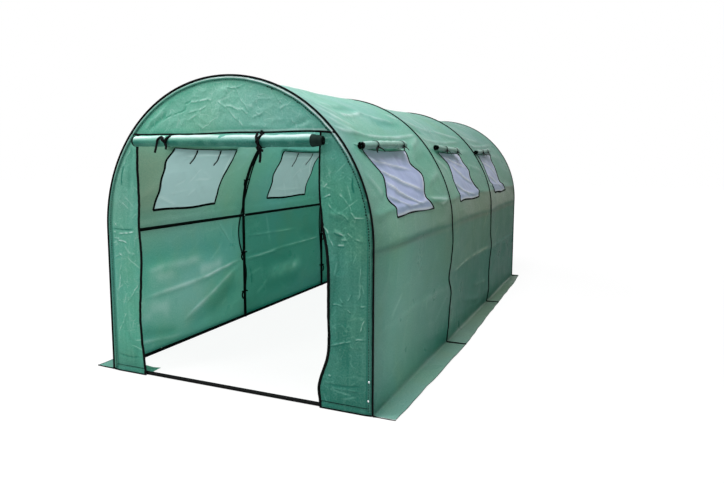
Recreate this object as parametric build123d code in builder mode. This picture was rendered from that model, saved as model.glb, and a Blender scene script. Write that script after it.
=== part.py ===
"""Walk-in polytunnel greenhouse: four bent-tube hoops tied by long rails, under a fitted woven cover.

The cover has a roll-up door in the front panel and three roll-up windows along each side.
The frame is +X to the right of the door, +Y from the door to the rear, +Z up, with Z = 0 on the ground.
"""

import os
from math import asin, cos, degrees, hypot, radians, sin, sqrt

from build123d import *

# Overall sizes
cover_width = 2000.0  # over the two side walls, skirts apart
cover_length = 4500.0  # from the front panel's face to the rear panel's face
wall_height = 1000.0  # where the upright wall turns into the round roof
bay_count = 3

# Frame tube
tube_diameter = 25.0
shoulder_rail_height = 965.0  # centre of the rail along each wall's top
ridge_rail_drop = 3.0  # how far the ridge rails' centre lies below the hoops' centre

# Cover cloth
cloth_thickness = 3.0
roof_sag = 60.0  # how far the roof cloth hangs in at the middle of a bay
skirt_width = 165.0
contact_clearance = 0.3  # between pieces that lie on each other

# Doorway
door_width = 1400.0
header_height = 1648.0
door_roll_diameter = 75.0
door_roll_length = 1405.0
door_roll_shift = 7.0  # the roll sits a little towards the right jamb
door_roll_drop = 12.0  # strip that shows between the header seam and the roll
door_strip_lap = 18.0  # how far the door's top strip is sewn up onto the gable
tie_width = 20.0
tie_thickness = 2.0
tie_places = (-400.0, 280.0)  # X of the two ties that hold the door roll

# Windows, with heights measured along the roof's curve
window_width = 720.0
window_height = 500.0
window_rise = 108.0  # from the wall's top to the window's lower edge
window_roll_diameter = 52.0
window_roll_length = 820.0

# Loose corner of the left jamb's hem that lies on the ground inside the doorway
flap_width = 190.0
flap_depth = 105.0

# Sizes worked out from the ones above
outer_radius = cover_width / 2
inner_radius = outer_radius - cloth_thickness
tube_radius = tube_diameter / 2
hoop_radius = inner_radius - contact_clearance - tube_radius
roll_stand_out = door_roll_diameter + tie_thickness + 2 * contact_clearance
front_face = -(cover_length + roll_stand_out) / 2 + roll_stand_out
rear_face = front_face + cover_length
first_hoop = front_face + cloth_thickness + contact_clearance + tube_radius
last_hoop = rear_face - cloth_thickness - contact_clearance - tube_radius
bay_length = (last_hoop - first_hoop) / bay_count
hoop_places = [first_hoop + bay_length * k for k in range(bay_count + 1)]
hoop_names = ["front", "second", "third", "rear"]
header_half_width = sqrt(outer_radius**2 - (header_height - wall_height) ** 2)
hoop_band = tube_radius + contact_clearance  # half of the band of roof cloth that lies on a hoop
side_names = ("right", "left")

os.makedirs("parts", exist_ok=True)


def upright_plane(y):
    """The plane across the tunnel at y, with local x along X and local y along Z."""
    return Plane.XZ.offset(-y)


def on_arch(radius, angle):
    """Point of a circle about the arch's centre line, with the angle in degrees above the wall's top."""
    return (radius * cos(radians(angle)), wall_height + radius * sin(radians(angle)))


def save(builder, name):
    """Label a finished piece and write its STEP file."""
    builder.part.label = name
    export_step(builder.part, f"parts/{name}.step")


def save_pair(right_piece, name):
    """Write a piece of the right side, and its mirror image as the left side's piece."""
    for side in side_names:
        with BuildPart() as piece:
            if side == "right":
                add(right_piece.part)
            else:
                mirror(right_piece.part, about=Plane.YZ)
        save(piece, name.format(side=side))


# Hoops: two upright legs with a half-round arch on top of them
def build_hoop(y):
    arch_start = wall_height + contact_clearance
    with BuildPart() as hoop:
        with BuildSketch(Plane.XY):
            with Locations((hoop_radius, y), (-hoop_radius, y)):
                Circle(tube_radius)
        extrude(amount=wall_height)
        with BuildSketch(Plane.XY.offset(arch_start)):
            with Locations((hoop_radius, y)):
                Circle(tube_radius)
        revolve(axis=Axis((0, y, arch_start), (0, -1, 0)), revolution_arc=180)
    return hoop


for hoop_name, hoop_y in zip(hoop_names, hoop_places):
    save(build_hoop(hoop_y), f"{hoop_name}_hoop")


# Rails: straight tubes between neighbouring hoops, with ends cut to the hoop tube's round
def build_rails(x, z, hoop_z, hoop_axis):
    """One rail a bay at (x, z). The hoop tube there passes through (x, hoop_z) along hoop_axis."""
    socket_radius = tube_radius + contact_clearance
    with BuildPart() as rails:
        with BuildSketch(upright_plane(first_hoop)):
            with Locations((x, z)):
                Circle(tube_radius)
        extrude(amount=-(last_hoop - first_hoop))
        for y in hoop_places:
            across_hoop = Plane((x, y, hoop_z), x_dir=(0, 1, 0), z_dir=hoop_axis)
            with BuildSketch(across_hoop):
                Circle(socket_radius)
            extrude(amount=tube_diameter, both=True, mode=Mode.SUBTRACT)
    return rails


for height, name in ((tube_radius, "base"), (shoulder_rail_height, "shoulder")):
    save_pair(build_rails(hoop_radius, height, height, (0, 0, 1)), f"{{side}}_{name}_rails")
hoop_top = wall_height + contact_clearance + hoop_radius
save(build_rails(0, hoop_top - ridge_rail_drop, hoop_top, (1, 0, 0)), "ridge_rails")


# Ground bars: one across the doorway and one across the rear, between the end hoops' legs
def build_ground_bar(y):
    with BuildPart() as bar:
        with BuildSketch(Plane.YZ):
            with Locations((y, tube_radius)):
                Circle(tube_radius)
        extrude(amount=hoop_radius - tube_radius - contact_clearance, both=True)
    return bar


save(build_ground_bar(first_hoop), "front_ground_bar")
save(build_ground_bar(last_hoop), "rear_ground_bar")


# Roof cloth: half of a bay's roof hangs from hoop to hoop and sags between them
def mid_bay_arc(sag):
    """Radius of the sagged curve, and its centre's distance from the arch's centre along 45 degrees."""
    half_chord = outer_radius * sin(radians(45))
    rise = outer_radius - sag - half_chord
    radius = (half_chord**2 + rise**2) / (2 * rise)
    return radius, outer_radius - sag - radius


def sag_depth(angle):
    """How far the cloth has sagged at an angle, at the middle of a bay."""
    radius, centre = mid_bay_arc(roof_sag)
    off_middle = radians(angle - 45)
    reach = centre * cos(off_middle) + sqrt(radius**2 - (centre * sin(off_middle)) ** 2)
    return outer_radius - reach


def roof_section(y, sag):
    """Cross-section of the half roof at y."""
    with BuildSketch(upright_plane(y)) as section:
        with BuildLine():
            outer = ThreePointArc(
                on_arch(outer_radius, 0), on_arch(outer_radius - sag, 45), on_arch(outer_radius, 90)
            )
            inner = ThreePointArc(
                on_arch(inner_radius, 0), on_arch(inner_radius - sag, 45), on_arch(inner_radius, 90)
            )
            Line(outer @ 0, inner @ 0)
            Line(outer @ 1, inner @ 1)
        make_face()
    return section.sketch


def build_window_block(bay_middle, clearance):
    """The wedge of space that a window takes, smaller all round by a clearance."""
    low = degrees((window_rise + clearance) / outer_radius)
    high = degrees((window_rise + window_height - clearance) / outer_radius)
    near, far = inner_radius * 0.8, outer_radius * 1.1
    with BuildPart() as block:
        with BuildSketch(upright_plane(bay_middle)):
            Polygon(
                on_arch(near, low), on_arch(far, low), on_arch(far, high), on_arch(near, high), align=None
            )
        extrude(amount=window_width / 2 - clearance, both=True)
    return block


def build_roof_half(bay):
    """The sagging cloth between two hoops, with the flat bands that lie on the hoops themselves."""
    start, end = hoop_places[bay], hoop_places[bay + 1]
    start_section = roof_section(start + hoop_band, 0)
    middle_section = roof_section((start + end) / 2, roof_sag)
    end_section = roof_section(end - hoop_band, 0)
    with BuildPart() as roof:
        loft(sections=[start_section, middle_section, end_section])
        extrude(start_section, amount=2 * hoop_band if bay == 0 else hoop_band)
        extrude(end_section, amount=-2 * hoop_band if bay == bay_count - 1 else -hoop_band)
    return roof


def build_window_roll(bay_middle):
    """The window's flap, rolled up and tied above the mesh, resting on the cloth at its two ends."""
    roll_radius = window_roll_diameter / 2
    angle = degrees((window_rise + window_height + roll_radius) / outer_radius)
    free_span = bay_length - 2 * hoop_band
    sag_at_ends = sag_depth(angle) * (1 - (window_roll_length / free_span) ** 2)
    stand_off = outer_radius - sag_at_ends + roll_radius + contact_clearance
    with BuildPart() as roll:
        with BuildSketch(upright_plane(bay_middle)):
            with Locations(on_arch(stand_off, angle)):
                Circle(roll_radius)
        extrude(amount=window_roll_length / 2, both=True)
    return roll


for bay in range(bay_count):
    middle = (hoop_places[bay] + hoop_places[bay + 1]) / 2
    roof_half = build_roof_half(bay)
    window_hole = build_window_block(middle, 0)
    window_panel = build_window_block(middle, contact_clearance)
    with BuildPart() as roof_cloth:
        add(roof_half.part)
        add(window_hole.part, mode=Mode.SUBTRACT)
    with BuildPart() as window_mesh:
        add(roof_half.part)
        add(window_panel.part, mode=Mode.INTERSECT)
    save_pair(roof_cloth, f"bay_{bay + 1}_{{side}}_roof")
    save_pair(window_mesh, f"bay_{bay + 1}_{{side}}_window_mesh")
    save_pair(build_window_roll(middle), f"bay_{bay + 1}_{{side}}_window_roll")

# Side walls: flat cloth from the ground up to the roof, one panel a bay
wall_starts = [front_face + cloth_thickness] + hoop_places[1:-1]
wall_ends = hoop_places[1:-1] + [rear_face - cloth_thickness]
for bay, (start, end) in enumerate(zip(wall_starts, wall_ends)):
    with BuildPart() as side_wall:
        with BuildSketch(Plane.XY):
            with Locations((inner_radius, start)):
                Rectangle(cloth_thickness, end - start, align=(Align.MIN, Align.MIN))
        extrude(amount=wall_height)
    save_pair(side_wall, f"bay_{bay + 1}_{{side}}_wall")

# Skirts: cloth that lies on the ground along each wall
with BuildPart() as skirt:
    with BuildSketch(Plane.XY):
        with Locations((outer_radius, front_face)):
            Rectangle(skirt_width, cover_length, align=(Align.MIN, Align.MIN))
    extrude(amount=cloth_thickness)
save_pair(skirt, "{side}_skirt")


# End panels: a gable above the header seam, and cloth below it
def build_gable(y):
    """Cloth above the header seam, with its outer face towards -Y at y."""
    seam_end = (header_half_width, header_height)
    with BuildPart() as gable:
        with BuildSketch(upright_plane(y)):
            with BuildLine():
                ThreePointArc(seam_end, on_arch(outer_radius, 90), (-seam_end[0], header_height))
                Line((-seam_end[0], header_height), seam_end)
            make_face()
        extrude(amount=-cloth_thickness)
    return gable


def build_side_cloth(y, inner_edge):
    """Right half of the cloth below the header seam, from inner_edge out to the arch and the wall."""
    header_angle = degrees(asin((header_height - wall_height) / outer_radius))
    with BuildPart() as cloth:
        with BuildSketch(upright_plane(y)):
            with BuildLine():
                Polyline((header_half_width, header_height), (inner_edge, header_height), (inner_edge, 0))
                Polyline((inner_edge, 0), (outer_radius, 0), (outer_radius, wall_height))
                ThreePointArc(
                    (outer_radius, wall_height),
                    on_arch(outer_radius, header_angle / 2),
                    (header_half_width, header_height),
                )
            make_face()
        extrude(amount=-cloth_thickness)
    return cloth


save(build_gable(front_face), "front_gable")
save_pair(build_side_cloth(front_face, door_width / 2), "front_{side}_jamb")
save(build_gable(rear_face - cloth_thickness), "rear_gable")
with BuildPart() as rear_wall:
    add(build_side_cloth(rear_face - cloth_thickness, 0).part)
    mirror(about=Plane.YZ)
save(rear_wall, "rear_wall")

# Door: rolled up under the header seam, hanging from the strip that is sewn onto the gable
roll_radius = door_roll_diameter / 2
roll_height = header_height - door_roll_drop - roll_radius
roll_axis = front_face - contact_clearance - roll_radius
with BuildPart() as door_roll:
    with BuildSketch(Plane.YZ.offset(door_roll_shift)):
        with Locations((roll_axis, roll_height)):
            Circle(roll_radius)
    extrude(amount=door_roll_length / 2, both=True)
    with BuildSketch(Plane.YZ):
        with Locations((front_face, roll_height)):
            Rectangle(
                cloth_thickness, roll_radius + door_roll_drop + door_strip_lap, align=(Align.MAX, Align.MIN)
            )
    extrude(amount=door_width / 2, both=True)
save(door_roll, "door_roll")

# Ties: bands round the door roll, open at the back of the top strip that they hang from
with BuildPart() as door_ties:
    for x in tie_places:
        band_inside = roll_radius + contact_clearance
        strip_gap = cloth_thickness + 2 * contact_clearance
        with BuildSketch(Plane.YZ.offset(x)):
            with Locations((roll_axis, roll_height)):
                Circle(band_inside + tie_thickness)
                Circle(band_inside, mode=Mode.SUBTRACT)
            with Locations((front_face + contact_clearance, roll_height - contact_clearance)):
                Rectangle(strip_gap, roll_radius, align=(Align.MAX, Align.MIN), mode=Mode.SUBTRACT)
        extrude(amount=tie_width / 2, both=True)
save(door_ties, "door_ties")

# Loose corner of the left jamb's hem, on the ground and tucked against the front ground bar
tuck = sqrt((tube_radius + contact_clearance) ** 2 - (tube_radius - cloth_thickness) ** 2)
with BuildPart() as ground_flap:
    with BuildSketch(Plane.XY):
        with Locations((-door_width / 2, first_hoop + tuck)):
            Rectangle(flap_width, flap_depth, align=(Align.MAX, Align.MIN))
    extrude(amount=cloth_thickness)
save(ground_flap, "front_left_ground_flap")
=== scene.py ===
# %% [markdown]
# # A walk-in polytunnel greenhouse
#
# A polytunnel is a row of bent steel hoops with a sewn cover pulled over them. The cover is a thin green
# woven sheet that lets light through, so its folds glow or darken with what is behind them.
# The hard pieces (hoops, rails and ground bars) come from the CAD model and keep their shape. Everything
# sewn is made here, because cloth gets its looks from sags, folds and edges that a CAD solid doesn't have.

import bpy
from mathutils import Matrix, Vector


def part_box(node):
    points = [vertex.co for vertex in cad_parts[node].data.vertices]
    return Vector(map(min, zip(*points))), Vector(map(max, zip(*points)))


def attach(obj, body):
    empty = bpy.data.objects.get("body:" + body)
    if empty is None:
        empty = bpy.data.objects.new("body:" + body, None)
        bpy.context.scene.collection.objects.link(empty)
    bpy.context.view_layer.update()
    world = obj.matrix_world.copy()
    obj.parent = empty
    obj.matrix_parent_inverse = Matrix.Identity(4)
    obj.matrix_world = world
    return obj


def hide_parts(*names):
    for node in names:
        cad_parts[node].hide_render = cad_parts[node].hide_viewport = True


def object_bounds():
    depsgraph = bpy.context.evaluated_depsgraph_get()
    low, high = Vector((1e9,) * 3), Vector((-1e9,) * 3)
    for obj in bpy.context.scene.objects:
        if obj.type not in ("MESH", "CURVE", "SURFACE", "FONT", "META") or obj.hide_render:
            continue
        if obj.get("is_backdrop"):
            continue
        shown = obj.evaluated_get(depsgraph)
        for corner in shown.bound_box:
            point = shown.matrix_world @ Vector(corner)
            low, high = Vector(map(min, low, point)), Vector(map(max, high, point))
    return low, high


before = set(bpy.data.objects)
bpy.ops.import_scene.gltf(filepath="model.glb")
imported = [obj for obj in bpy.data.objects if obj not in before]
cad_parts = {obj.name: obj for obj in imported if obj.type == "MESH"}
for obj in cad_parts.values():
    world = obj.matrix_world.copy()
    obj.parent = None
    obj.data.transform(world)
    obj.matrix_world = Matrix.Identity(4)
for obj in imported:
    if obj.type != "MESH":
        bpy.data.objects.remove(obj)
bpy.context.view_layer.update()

# %% [markdown]
# ## Sizes from the frame
#
# Every place on the tunnel follows from a few sizes: where the hoops stand, how wide the arch is and where
# the header seam runs. They are read from the CAD pieces, so that nothing has to be fitted by eye. Lengths
# are in metres, with the door towards -Y and the ground at Z = 0.

# %% Measure the hoops, the panels and the rails
from math import asin, cos, hypot, pi, sin, sqrt

import bpy
import numpy as np
from mathutils import Matrix, Vector

hoops = [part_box(f"{name}_hoop") for name in ("front", "second", "third", "rear")]
hoop_y = [(low.y + high.y) / 2 for low, high in hoops]
tube_radius = (hoops[0][1].y - hoops[0][0].y) / 2
hoop_radius = hoops[0][1].x - tube_radius
gable_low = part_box("front_gable")[0]
front_y, header_z = gable_low.y, gable_low.z
rear_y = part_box("rear_gable")[1].y
wall_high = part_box("bay_1_right_wall")[1]
arch_radius, wall_top = wall_high.x, wall_high.z
skirt_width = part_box("right_skirt")[1].x - arch_radius
rail_low, rail_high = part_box("left_shoulder_rails")
shoulder_z = (rail_low.z + rail_high.z) / 2
print("hoops at", [round(y, 3) for y in hoop_y], "arch", round(arch_radius, 3), "header", round(header_z, 3))

# %% [markdown]
# ## Small tools for meshes
#
# Cloth is easiest to shape as a grid of points: a formula gives each point its place, and faces join
# neighbours. Such a grid is called a patch here, and a piece is one or more patches in one mesh.
# A second tool sweeps a rounded band along a path, for piping, bindings and ribbons. Building the meshes
# from arrays is faster than moving vertices one by one, and the formulas stay readable.

# %% Patches
to_the_door = (0.0, -1.0, 0.0)
upwards = (0.0, 0.0, 1.0)


def places(*parts):
    """Places from their coordinates. Each is an array, or one number for all."""
    return np.stack(np.broadcast_arrays(*parts), axis=-1)


def grid_patch(points, flat, crease_and_painted_light=None, keep=None):
    """A sheet from rows x columns of points. flat holds each point's place on the flat cloth, in metres."""
    rows, columns = points.shape[:2]
    index = np.arange(rows * columns).reshape(rows, columns)
    quads = np.stack([index[:-1, :-1], index[1:, :-1], index[1:, 1:], index[:-1, 1:]], axis=-1)
    quads = quads.reshape(-1, 4) if keep is None else quads[keep]
    crease_and_painted_light = np.zeros((rows, columns)) if crease_and_painted_light is None else crease_and_painted_light
    used, renumbered = np.unique(quads, return_inverse=True)
    return (
        points.reshape(-1, 3)[used],
        renumbered.reshape(-1, 4).tolist(),
        flat.reshape(-1, 2)[used],
        crease_and_painted_light.reshape(-1)[used],
    )


print("a grid of 3 x 4 points has", len(grid_patch(np.zeros((3, 4, 3)), np.zeros((3, 4, 2)))[1]), "faces")

# %% Bands
def ring_faces(rings, sides):
    """Faces between neighbouring rings of points."""
    starts = [(ring * sides + k, ring * sides + (k + 1) % sides) for ring in range(rings - 1) for k in range(sides)]
    return [(a, b, b + sides, a + sides) for a, b in starts]


def band_patch(path, normals, half_width, half_thickness, sides=8):
    """A closed rounded band along a path. It lies flat against a surface, given by its normal or normals."""
    path = np.asarray(path, float)
    normals = np.broadcast_to(np.asarray(normals, float), path.shape)
    tangents = np.gradient(path, axis=0)
    tangents /= np.linalg.norm(tangents, axis=1, keepdims=True)
    across = np.cross(tangents, normals)
    across /= np.linalg.norm(across, axis=1, keepdims=True)
    upward = np.cross(across, tangents)
    turn = np.linspace(0, 2 * pi, sides, endpoint=False)
    width = np.broadcast_to(half_width, len(path))[:, None, None]
    thickness = np.broadcast_to(half_thickness, len(path))[:, None, None]
    ring = across[:, None] * np.cos(turn)[None, :, None] * width
    ring = ring + upward[:, None] * np.sin(turn)[None, :, None] * thickness
    points = (path[:, None] + ring).reshape(-1, 3)
    ends = [tuple(reversed(range(sides))), tuple(range(len(points) - sides, len(points)))]
    faces = ring_faces(len(path), sides) + ends
    along = np.r_[0, np.cumsum(np.linalg.norm(np.diff(path, axis=0), axis=1))]
    flat = places(along[:, None], turn[None] * np.mean(half_width))
    return points, faces, flat.reshape(-1, 2), np.zeros(len(points))


upright = [(0, 0, 0), (0, 0, 1), (0, 0, 2)]
print("a band through 3 places has", len(band_patch(upright, to_the_door, 0.01, 0.01)[1]), "faces")

# %% Pieces
def add_object(name, data):
    """Put a mesh, a lamp or a camera into the scene."""
    made = bpy.data.objects.new(name, data)
    bpy.context.scene.collection.objects.link(made)
    return made


def make_piece(name, patches, material, slot, *stands_for):
    """Join patches into one object that rides on the tunnel's only body and stands for CAD nodes, if any."""
    points = np.concatenate([patch[0] for patch in patches])
    starts = np.cumsum([0] + [len(patch[0]) for patch in patches[:-1]])
    faces = [[v + int(s) for v in face] for patch, s in zip(patches, starts) for face in patch[1]]
    mesh = bpy.data.meshes.new(name)
    mesh.from_pydata(points.tolist(), [], faces)
    flat = np.concatenate([patch[2] for patch in patches])
    corner_vertices = np.zeros(len(mesh.loops), int)
    mesh.loops.foreach_get("vertex_index", corner_vertices)
    layer = mesh.uv_layers.new(name="flat_cloth")
    layer.data.foreach_set("uv", flat[corner_vertices].astype(np.float32).ravel())
    crease_and_painted_light = mesh.attributes.new("crease_and_painted_light", "FLOAT", "POINT")
    crease_and_painted_light.data.foreach_set("value", np.concatenate([patch[3] for patch in patches]).astype(np.float32))
    mesh.polygons.foreach_set("use_smooth", [True] * len(mesh.polygons))
    mesh.materials.append(material)
    mesh.update()
    piece = add_object(name, mesh)
    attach(piece, "root")
    if stands_for:
        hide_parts(*stands_for)
    return piece


print("patches become pieces with make_piece")

# %% [markdown]
# ## Formulas for cloth
#
# Everything on the cloth that fades, swells or wanders is put together from a few short formulas: a ramp,
# a hump, a soft step, smooth noise and a curve through a few known places.

# %% Ramps, humps, noise and curves
def clamp(value):
    """The value held between 0 and 1."""
    return np.clip(value, 0, 1)


def ramp(value, begin, span):
    """0 at the beginning and 1 a span further on, and level outside. A span below 0 runs the other way."""
    return clamp((value - begin) / span)


def hump(value, middle, width):
    """1 in the middle, fading to nothing about two widths away."""
    return np.exp(-(((value - middle) / width) ** 2))


def ease(t):
    """The way from 0 to 1 with a soft start and a soft end."""
    return t * t * (3 - 2 * t)


def slack(a, b, size, seed):
    """Smooth random height from -1 to 1, with hills about as wide as size."""
    lattice = np.random.default_rng(seed).uniform(-1, 1, (48, 48))
    i, j = np.floor(a / size).astype(int), np.floor(b / size).astype(int)
    s, t = ease(a / size - i), ease(b / size - j)
    corner = lambda di, dj: lattice[(i + di) % 48, (j + dj) % 48]
    near = corner(0, 0) * (1 - s) + corner(1, 0) * s
    far = corner(0, 1) * (1 - s) + corner(1, 1) * s
    return near * (1 - t) + far * t


def through(x, knots, values):
    """A smooth curve through the given knots."""
    knots, values = np.asarray(knots, float), np.asarray(values, float)
    slopes = np.gradient(values, knots)
    k = np.clip(np.searchsorted(knots, x) - 1, 0, len(knots) - 2)
    span = knots[k + 1] - knots[k]
    t = clamp((x - knots[k]) / span)
    return (
        (1 + 2 * t) * (1 - t) ** 2 * values[k]
        + t * (1 - t) ** 2 * span * slopes[k]
        + ease(t) * values[k + 1]
        + t * t * (t - 1) * span * slopes[k + 1]
    )


print("half way up a ramp:", ramp(0.5, 0, 1), "and beside a hump:", round(float(hump(1.0, 0, 1)), 2))

# %% [markdown]
# ### Folds and creases
#
# A sheet that was packed flat keeps straight creases, and a sheet that hangs from hoops gets soft folds
# where it is pulled. Both are lines with a height: a crease has a sharp ridge like a tent, a fold a round
# one. Slow noise adds the slackness in between. The sharper a crease is, the more it whitens the plastic,
# so the tools also return how creased each point is, and the sheet's material reads that.

# %% Folds, creases and crumples
def fold(a, b, ends, width, height=1.0, sharp=False):
    """Height of one fold between two ends on the flat cloth, given in one row. It fades out at both ends."""
    a1, b1, a2, b2 = ends
    da, db = a2 - a1, b2 - b1
    length = hypot(da, db)
    along = ((a - a1) * da + (b - b1) * db) / length**2
    across = np.abs((b - b1) * da - (a - a1) * db) / length / width
    fade = clamp(np.minimum(along, 1 - along) * 4)
    ridge = clamp(1 - across) if sharp else np.exp(-across * across)
    return height * ridge * ease(fade)


def creases(a, b, count, longest, seed, width=0.009, height=0.0022):
    """Height and whitening of many short random creases over the cloth's own extent."""
    chance = np.random.default_rng(seed)
    raised, white = np.zeros_like(a), np.zeros_like(a)
    for _ in range(count):
        centre = chance.uniform((a.min(), b.min()), (a.max(), b.max()))
        turn, half = chance.uniform(0, pi), longest * chance.uniform(0.25, 1) / 2
        reach = np.array((cos(turn), sin(turn))) * half
        ends = (*(centre - reach), *(centre + reach))
        one = fold(a, b, ends, width * chance.uniform(0.7, 1.8), sharp=True)
        raised += one * height * chance.choice((-1, 1)) * chance.uniform(0.5, 1)
        white = np.maximum(white, one * chance.uniform(0.2, 1))
    return raised, white


def crumple(a, b, size, seed):
    """Height from 0 to 1 of a crumpled film: a web of sharp ridges with smooth facets between them."""
    a = a + 0.5 * size * slack(a, b, size * 1.7, seed + 1)
    b = b + 0.5 * size * slack(a, b, size * 1.7, seed + 2)
    broad = 1 - np.abs(slack(a, b, size, seed + 3))
    fine = 1 - np.abs(slack(a * 0.8 + b * 0.6, b * 0.8 - a * 0.6, size * 0.45, seed + 4))
    return broad**3 * 0.7 + broad * fine**4 * 0.3


middle_of_fold = fold(np.array(0.5), np.array(0.0), (0, 0, 1, 0), 0.02, 0.004)
print("a 4 mm fold at its middle is", round(float(middle_of_fold), 4))

# %% [markdown]
# ## Materials
#
# Each finish starts from what it is made of. Colours are written as sRGB hex values, as a paint card gives
# them, and one function turns them into the linear values that a renderer adds up. One small function adds
# a node with its settings and its links. The nodes that every recipe needs (a sum, a stretched range, one
# colour over another, a noise, a relief) get a short name each, so that a recipe reads like a list.

# %% Colours
def linear(hex_code):
    """An sRGB hex colour as the linear colour that a shader socket takes."""
    shares = [int(hex_code[k : k + 2], 16) / 255 for k in (1, 3, 5)]
    return (*[c / 12.92 if c <= 0.04045 else ((c + 0.055) / 1.055) ** 2.4 for c in shares], 1.0)


print("sheet green in linear light:", [round(c, 3) for c in linear("#5FA58F")[:3]])

# %% Node helpers
def add_node(tree, kind, inputs=None, **settings):
    """Add one node. settings are its own options, and each input is a plain value or another node's output."""
    node = tree.nodes.new("ShaderNode" + kind)
    for option, value in settings.items():
        setattr(node, option, value)
    for socket, value in (inputs or {}).items():
        if isinstance(value, bpy.types.NodeSocket):
            tree.links.new(value, node.inputs[socket])
        else:
            node.inputs[socket].default_value = value
    return node


def total(tree, operation, *terms):
    """One sum, such as ADD or MULTIPLY, of values and outputs."""
    return add_node(tree, "Math", dict(enumerate(terms)), operation=operation).outputs[0]


def stretch(tree, source, begin, full, least=0.0, most=1.0):
    """Turn the range from begin to full into the range from least to most, held at both ends."""
    inputs = {"Value": source, "From Min": begin, "From Max": full, "To Min": least, "To Max": most}
    return add_node(tree, "MapRange", inputs).outputs[0]


def blend(tree, share, under, over):
    """A share of one colour over another. Each is a hex code or an output."""
    under, over = (linear(colour) if isinstance(colour, str) else colour for colour in (under, over))
    return add_node(tree, "Mix", {0: share, 6: under, 7: over}, data_type="RGBA").outputs[2]


def noise(tree, place, scale, detail=2.0, output="Fac"):
    return add_node(tree, "TexNoise", {"Vector": place, "Scale": scale, "Detail": detail}).outputs[output]


def relief(tree, height, strength, depth, **under):
    """A fine relief, depth in metres. Normal=output lays it over another one."""
    inputs = {"Height": height, "Strength": strength, "Distance": depth, **under}
    return add_node(tree, "Bump", inputs).outputs[0]


def ribs(tree, flat, pitch, axis, **inputs):
    """Even ribs across the flat cloth, pitch in metres. A wave texture at scale 1 repeats every 2 pi / 20."""
    inputs = {"Vector": flat, "Scale": 2 * pi / 20 / pitch, **inputs}
    return add_node(tree, "TexWave", inputs, bands_direction=axis).outputs["Fac"]


def new_material(name):
    """A material with an empty node tree."""
    material = bpy.data.materials.new(name)
    material.use_nodes = True
    material.node_tree.nodes.clear()
    return material, material.node_tree


def on_cloth(tree):
    """Places on the flat cloth, in metres, from the UV map."""
    return add_node(tree, "UVMap", uv_map="flat_cloth").outputs[0]


def in_room(tree):
    """Places in the room, in metres."""
    return add_node(tree, "TexCoord").outputs["Object"]


def show(tree, surface):
    """Make a shader the one that is seen."""
    add_node(tree, "OutputMaterial", {"Surface": surface.outputs[0]})


def mixed(tree, share, first, second):
    """Two shaders, with a share of the second."""
    return add_node(tree, "MixShader", {0: share, 1: first.outputs[0], 2: second.outputs[0]})


print("a recipe can use total, stretch, blend, noise, relief and ribs")

# %% [markdown]
# ### The cover: woven polyethylene sheet
#
# The cover is woven from flat green polyethylene tapes about 2.5 mm wide and laminated with a clear film.
# Light passes through it and comes out scattered, so the sheet is a mix of a glossy plastic surface and a
# translucent one. The film gives soft highlights, with a roughness near 0.35 and the IOR of polyethylene,
# 1.51. The tapes are too fine to show at this distance, so their weave is drawn 7 mm apart, and where the
# film over them is uneven the green turns a little lighter and darker from one tape to the next.
# Where the film is creased it turns whitish: long creases come with the mesh, and a fine web of short ones
# is drawn from the edges of Voronoi cells, in patches. The mesh also carries painted light and shade: painted
# highlights whiten the sheet as its creases do, and painted shade darkens it. The small end panels were folded
# most, so they get a more creased version of the same finish. Where the sheet lies double it lets less light
# through. The green drifts between bluish and yellowish, and a greyish-brown tint is mixed into the right
# wall, most toward the back, and into the left wall near the door.

# %% Greyish-brown tint and short creases
# A greyish-brown tint on the right wall, more of it toward the back and below the shoulder; on the left near the
# door.
# Each range is an axis, where it begins and is full, and the shares of tint there.
brown_tint_ranges = (
    (
        ("Y", front_y + 0.2, front_y + 2.4, 0.22, 0.80),
        ("X", 0.5, 0.95),
        ("Z", wall_top + 0.19, wall_top + 0.17, 0.42, 1.0),
        ("Z", shoulder_z - 0.05, shoulder_z + 0.01, 0.72, 1.0),
        ("Y", rear_y - 0.02, rear_y - 0.006, 1.0, 0.25),
    ),
    (
        ("Y", front_y + 2.0, front_y + 0.3, 0.0, 0.70),
        ("Y", front_y + 0.01, front_y + 0.05, 0.25, 1.0),
        ("X", -0.6, -0.85),
        ("Z", wall_top - 0.25, wall_top + 0.15),
    ),
)


def short_creases(tree, place):
    """A web of fine lines in patches: a wide one and a narrow one, both on cells that are bent by noise."""
    swirl = noise(tree, place, 5.0, output="Color")
    bent = add_node(tree, "VectorMath", {0: swirl, 1: (0.13, 0.13, 0.13), 2: place}, operation="MULTIPLY_ADD")
    lines = []
    for scale, thick, patch_scale in ((7.0, 0.026, 9.0), (17.0, 0.045, 15.0)):
        cells = add_node(
            tree, "TexVoronoi", {"Vector": bent.outputs[0], "Scale": scale}, feature="DISTANCE_TO_EDGE"
        )
        near = stretch(tree, cells.outputs["Distance"], thick, 0.0)
        lines.append(total(tree, "MULTIPLY", near, stretch(tree, noise(tree, place, patch_scale), 0.52, 0.64)))
    return total(tree, "MAXIMUM", *lines)


def brown_tint(tree, place):
    """How much greyish-brown tint each place gets, from the ranges above."""
    axes = add_node(tree, "SeparateXYZ", {0: place}).outputs
    walls = []
    for ranges in brown_tint_ranges:
        shares = [stretch(tree, axes[axis], *span) for axis, *span in ranges]
        wall = shares[0]
        for share in shares[1:]:
            wall = total(tree, "MULTIPLY", wall, share)
        walls.append(wall)
    return total(tree, "ADD", *walls)


print("greyish-brown tint on", len(brown_tint_ranges), "walls")

# %% Woven polyethylene sheet
weave_pitch = 0.007
tape_contrast = 0.11
polyethylene_ior = 1.51


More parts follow.
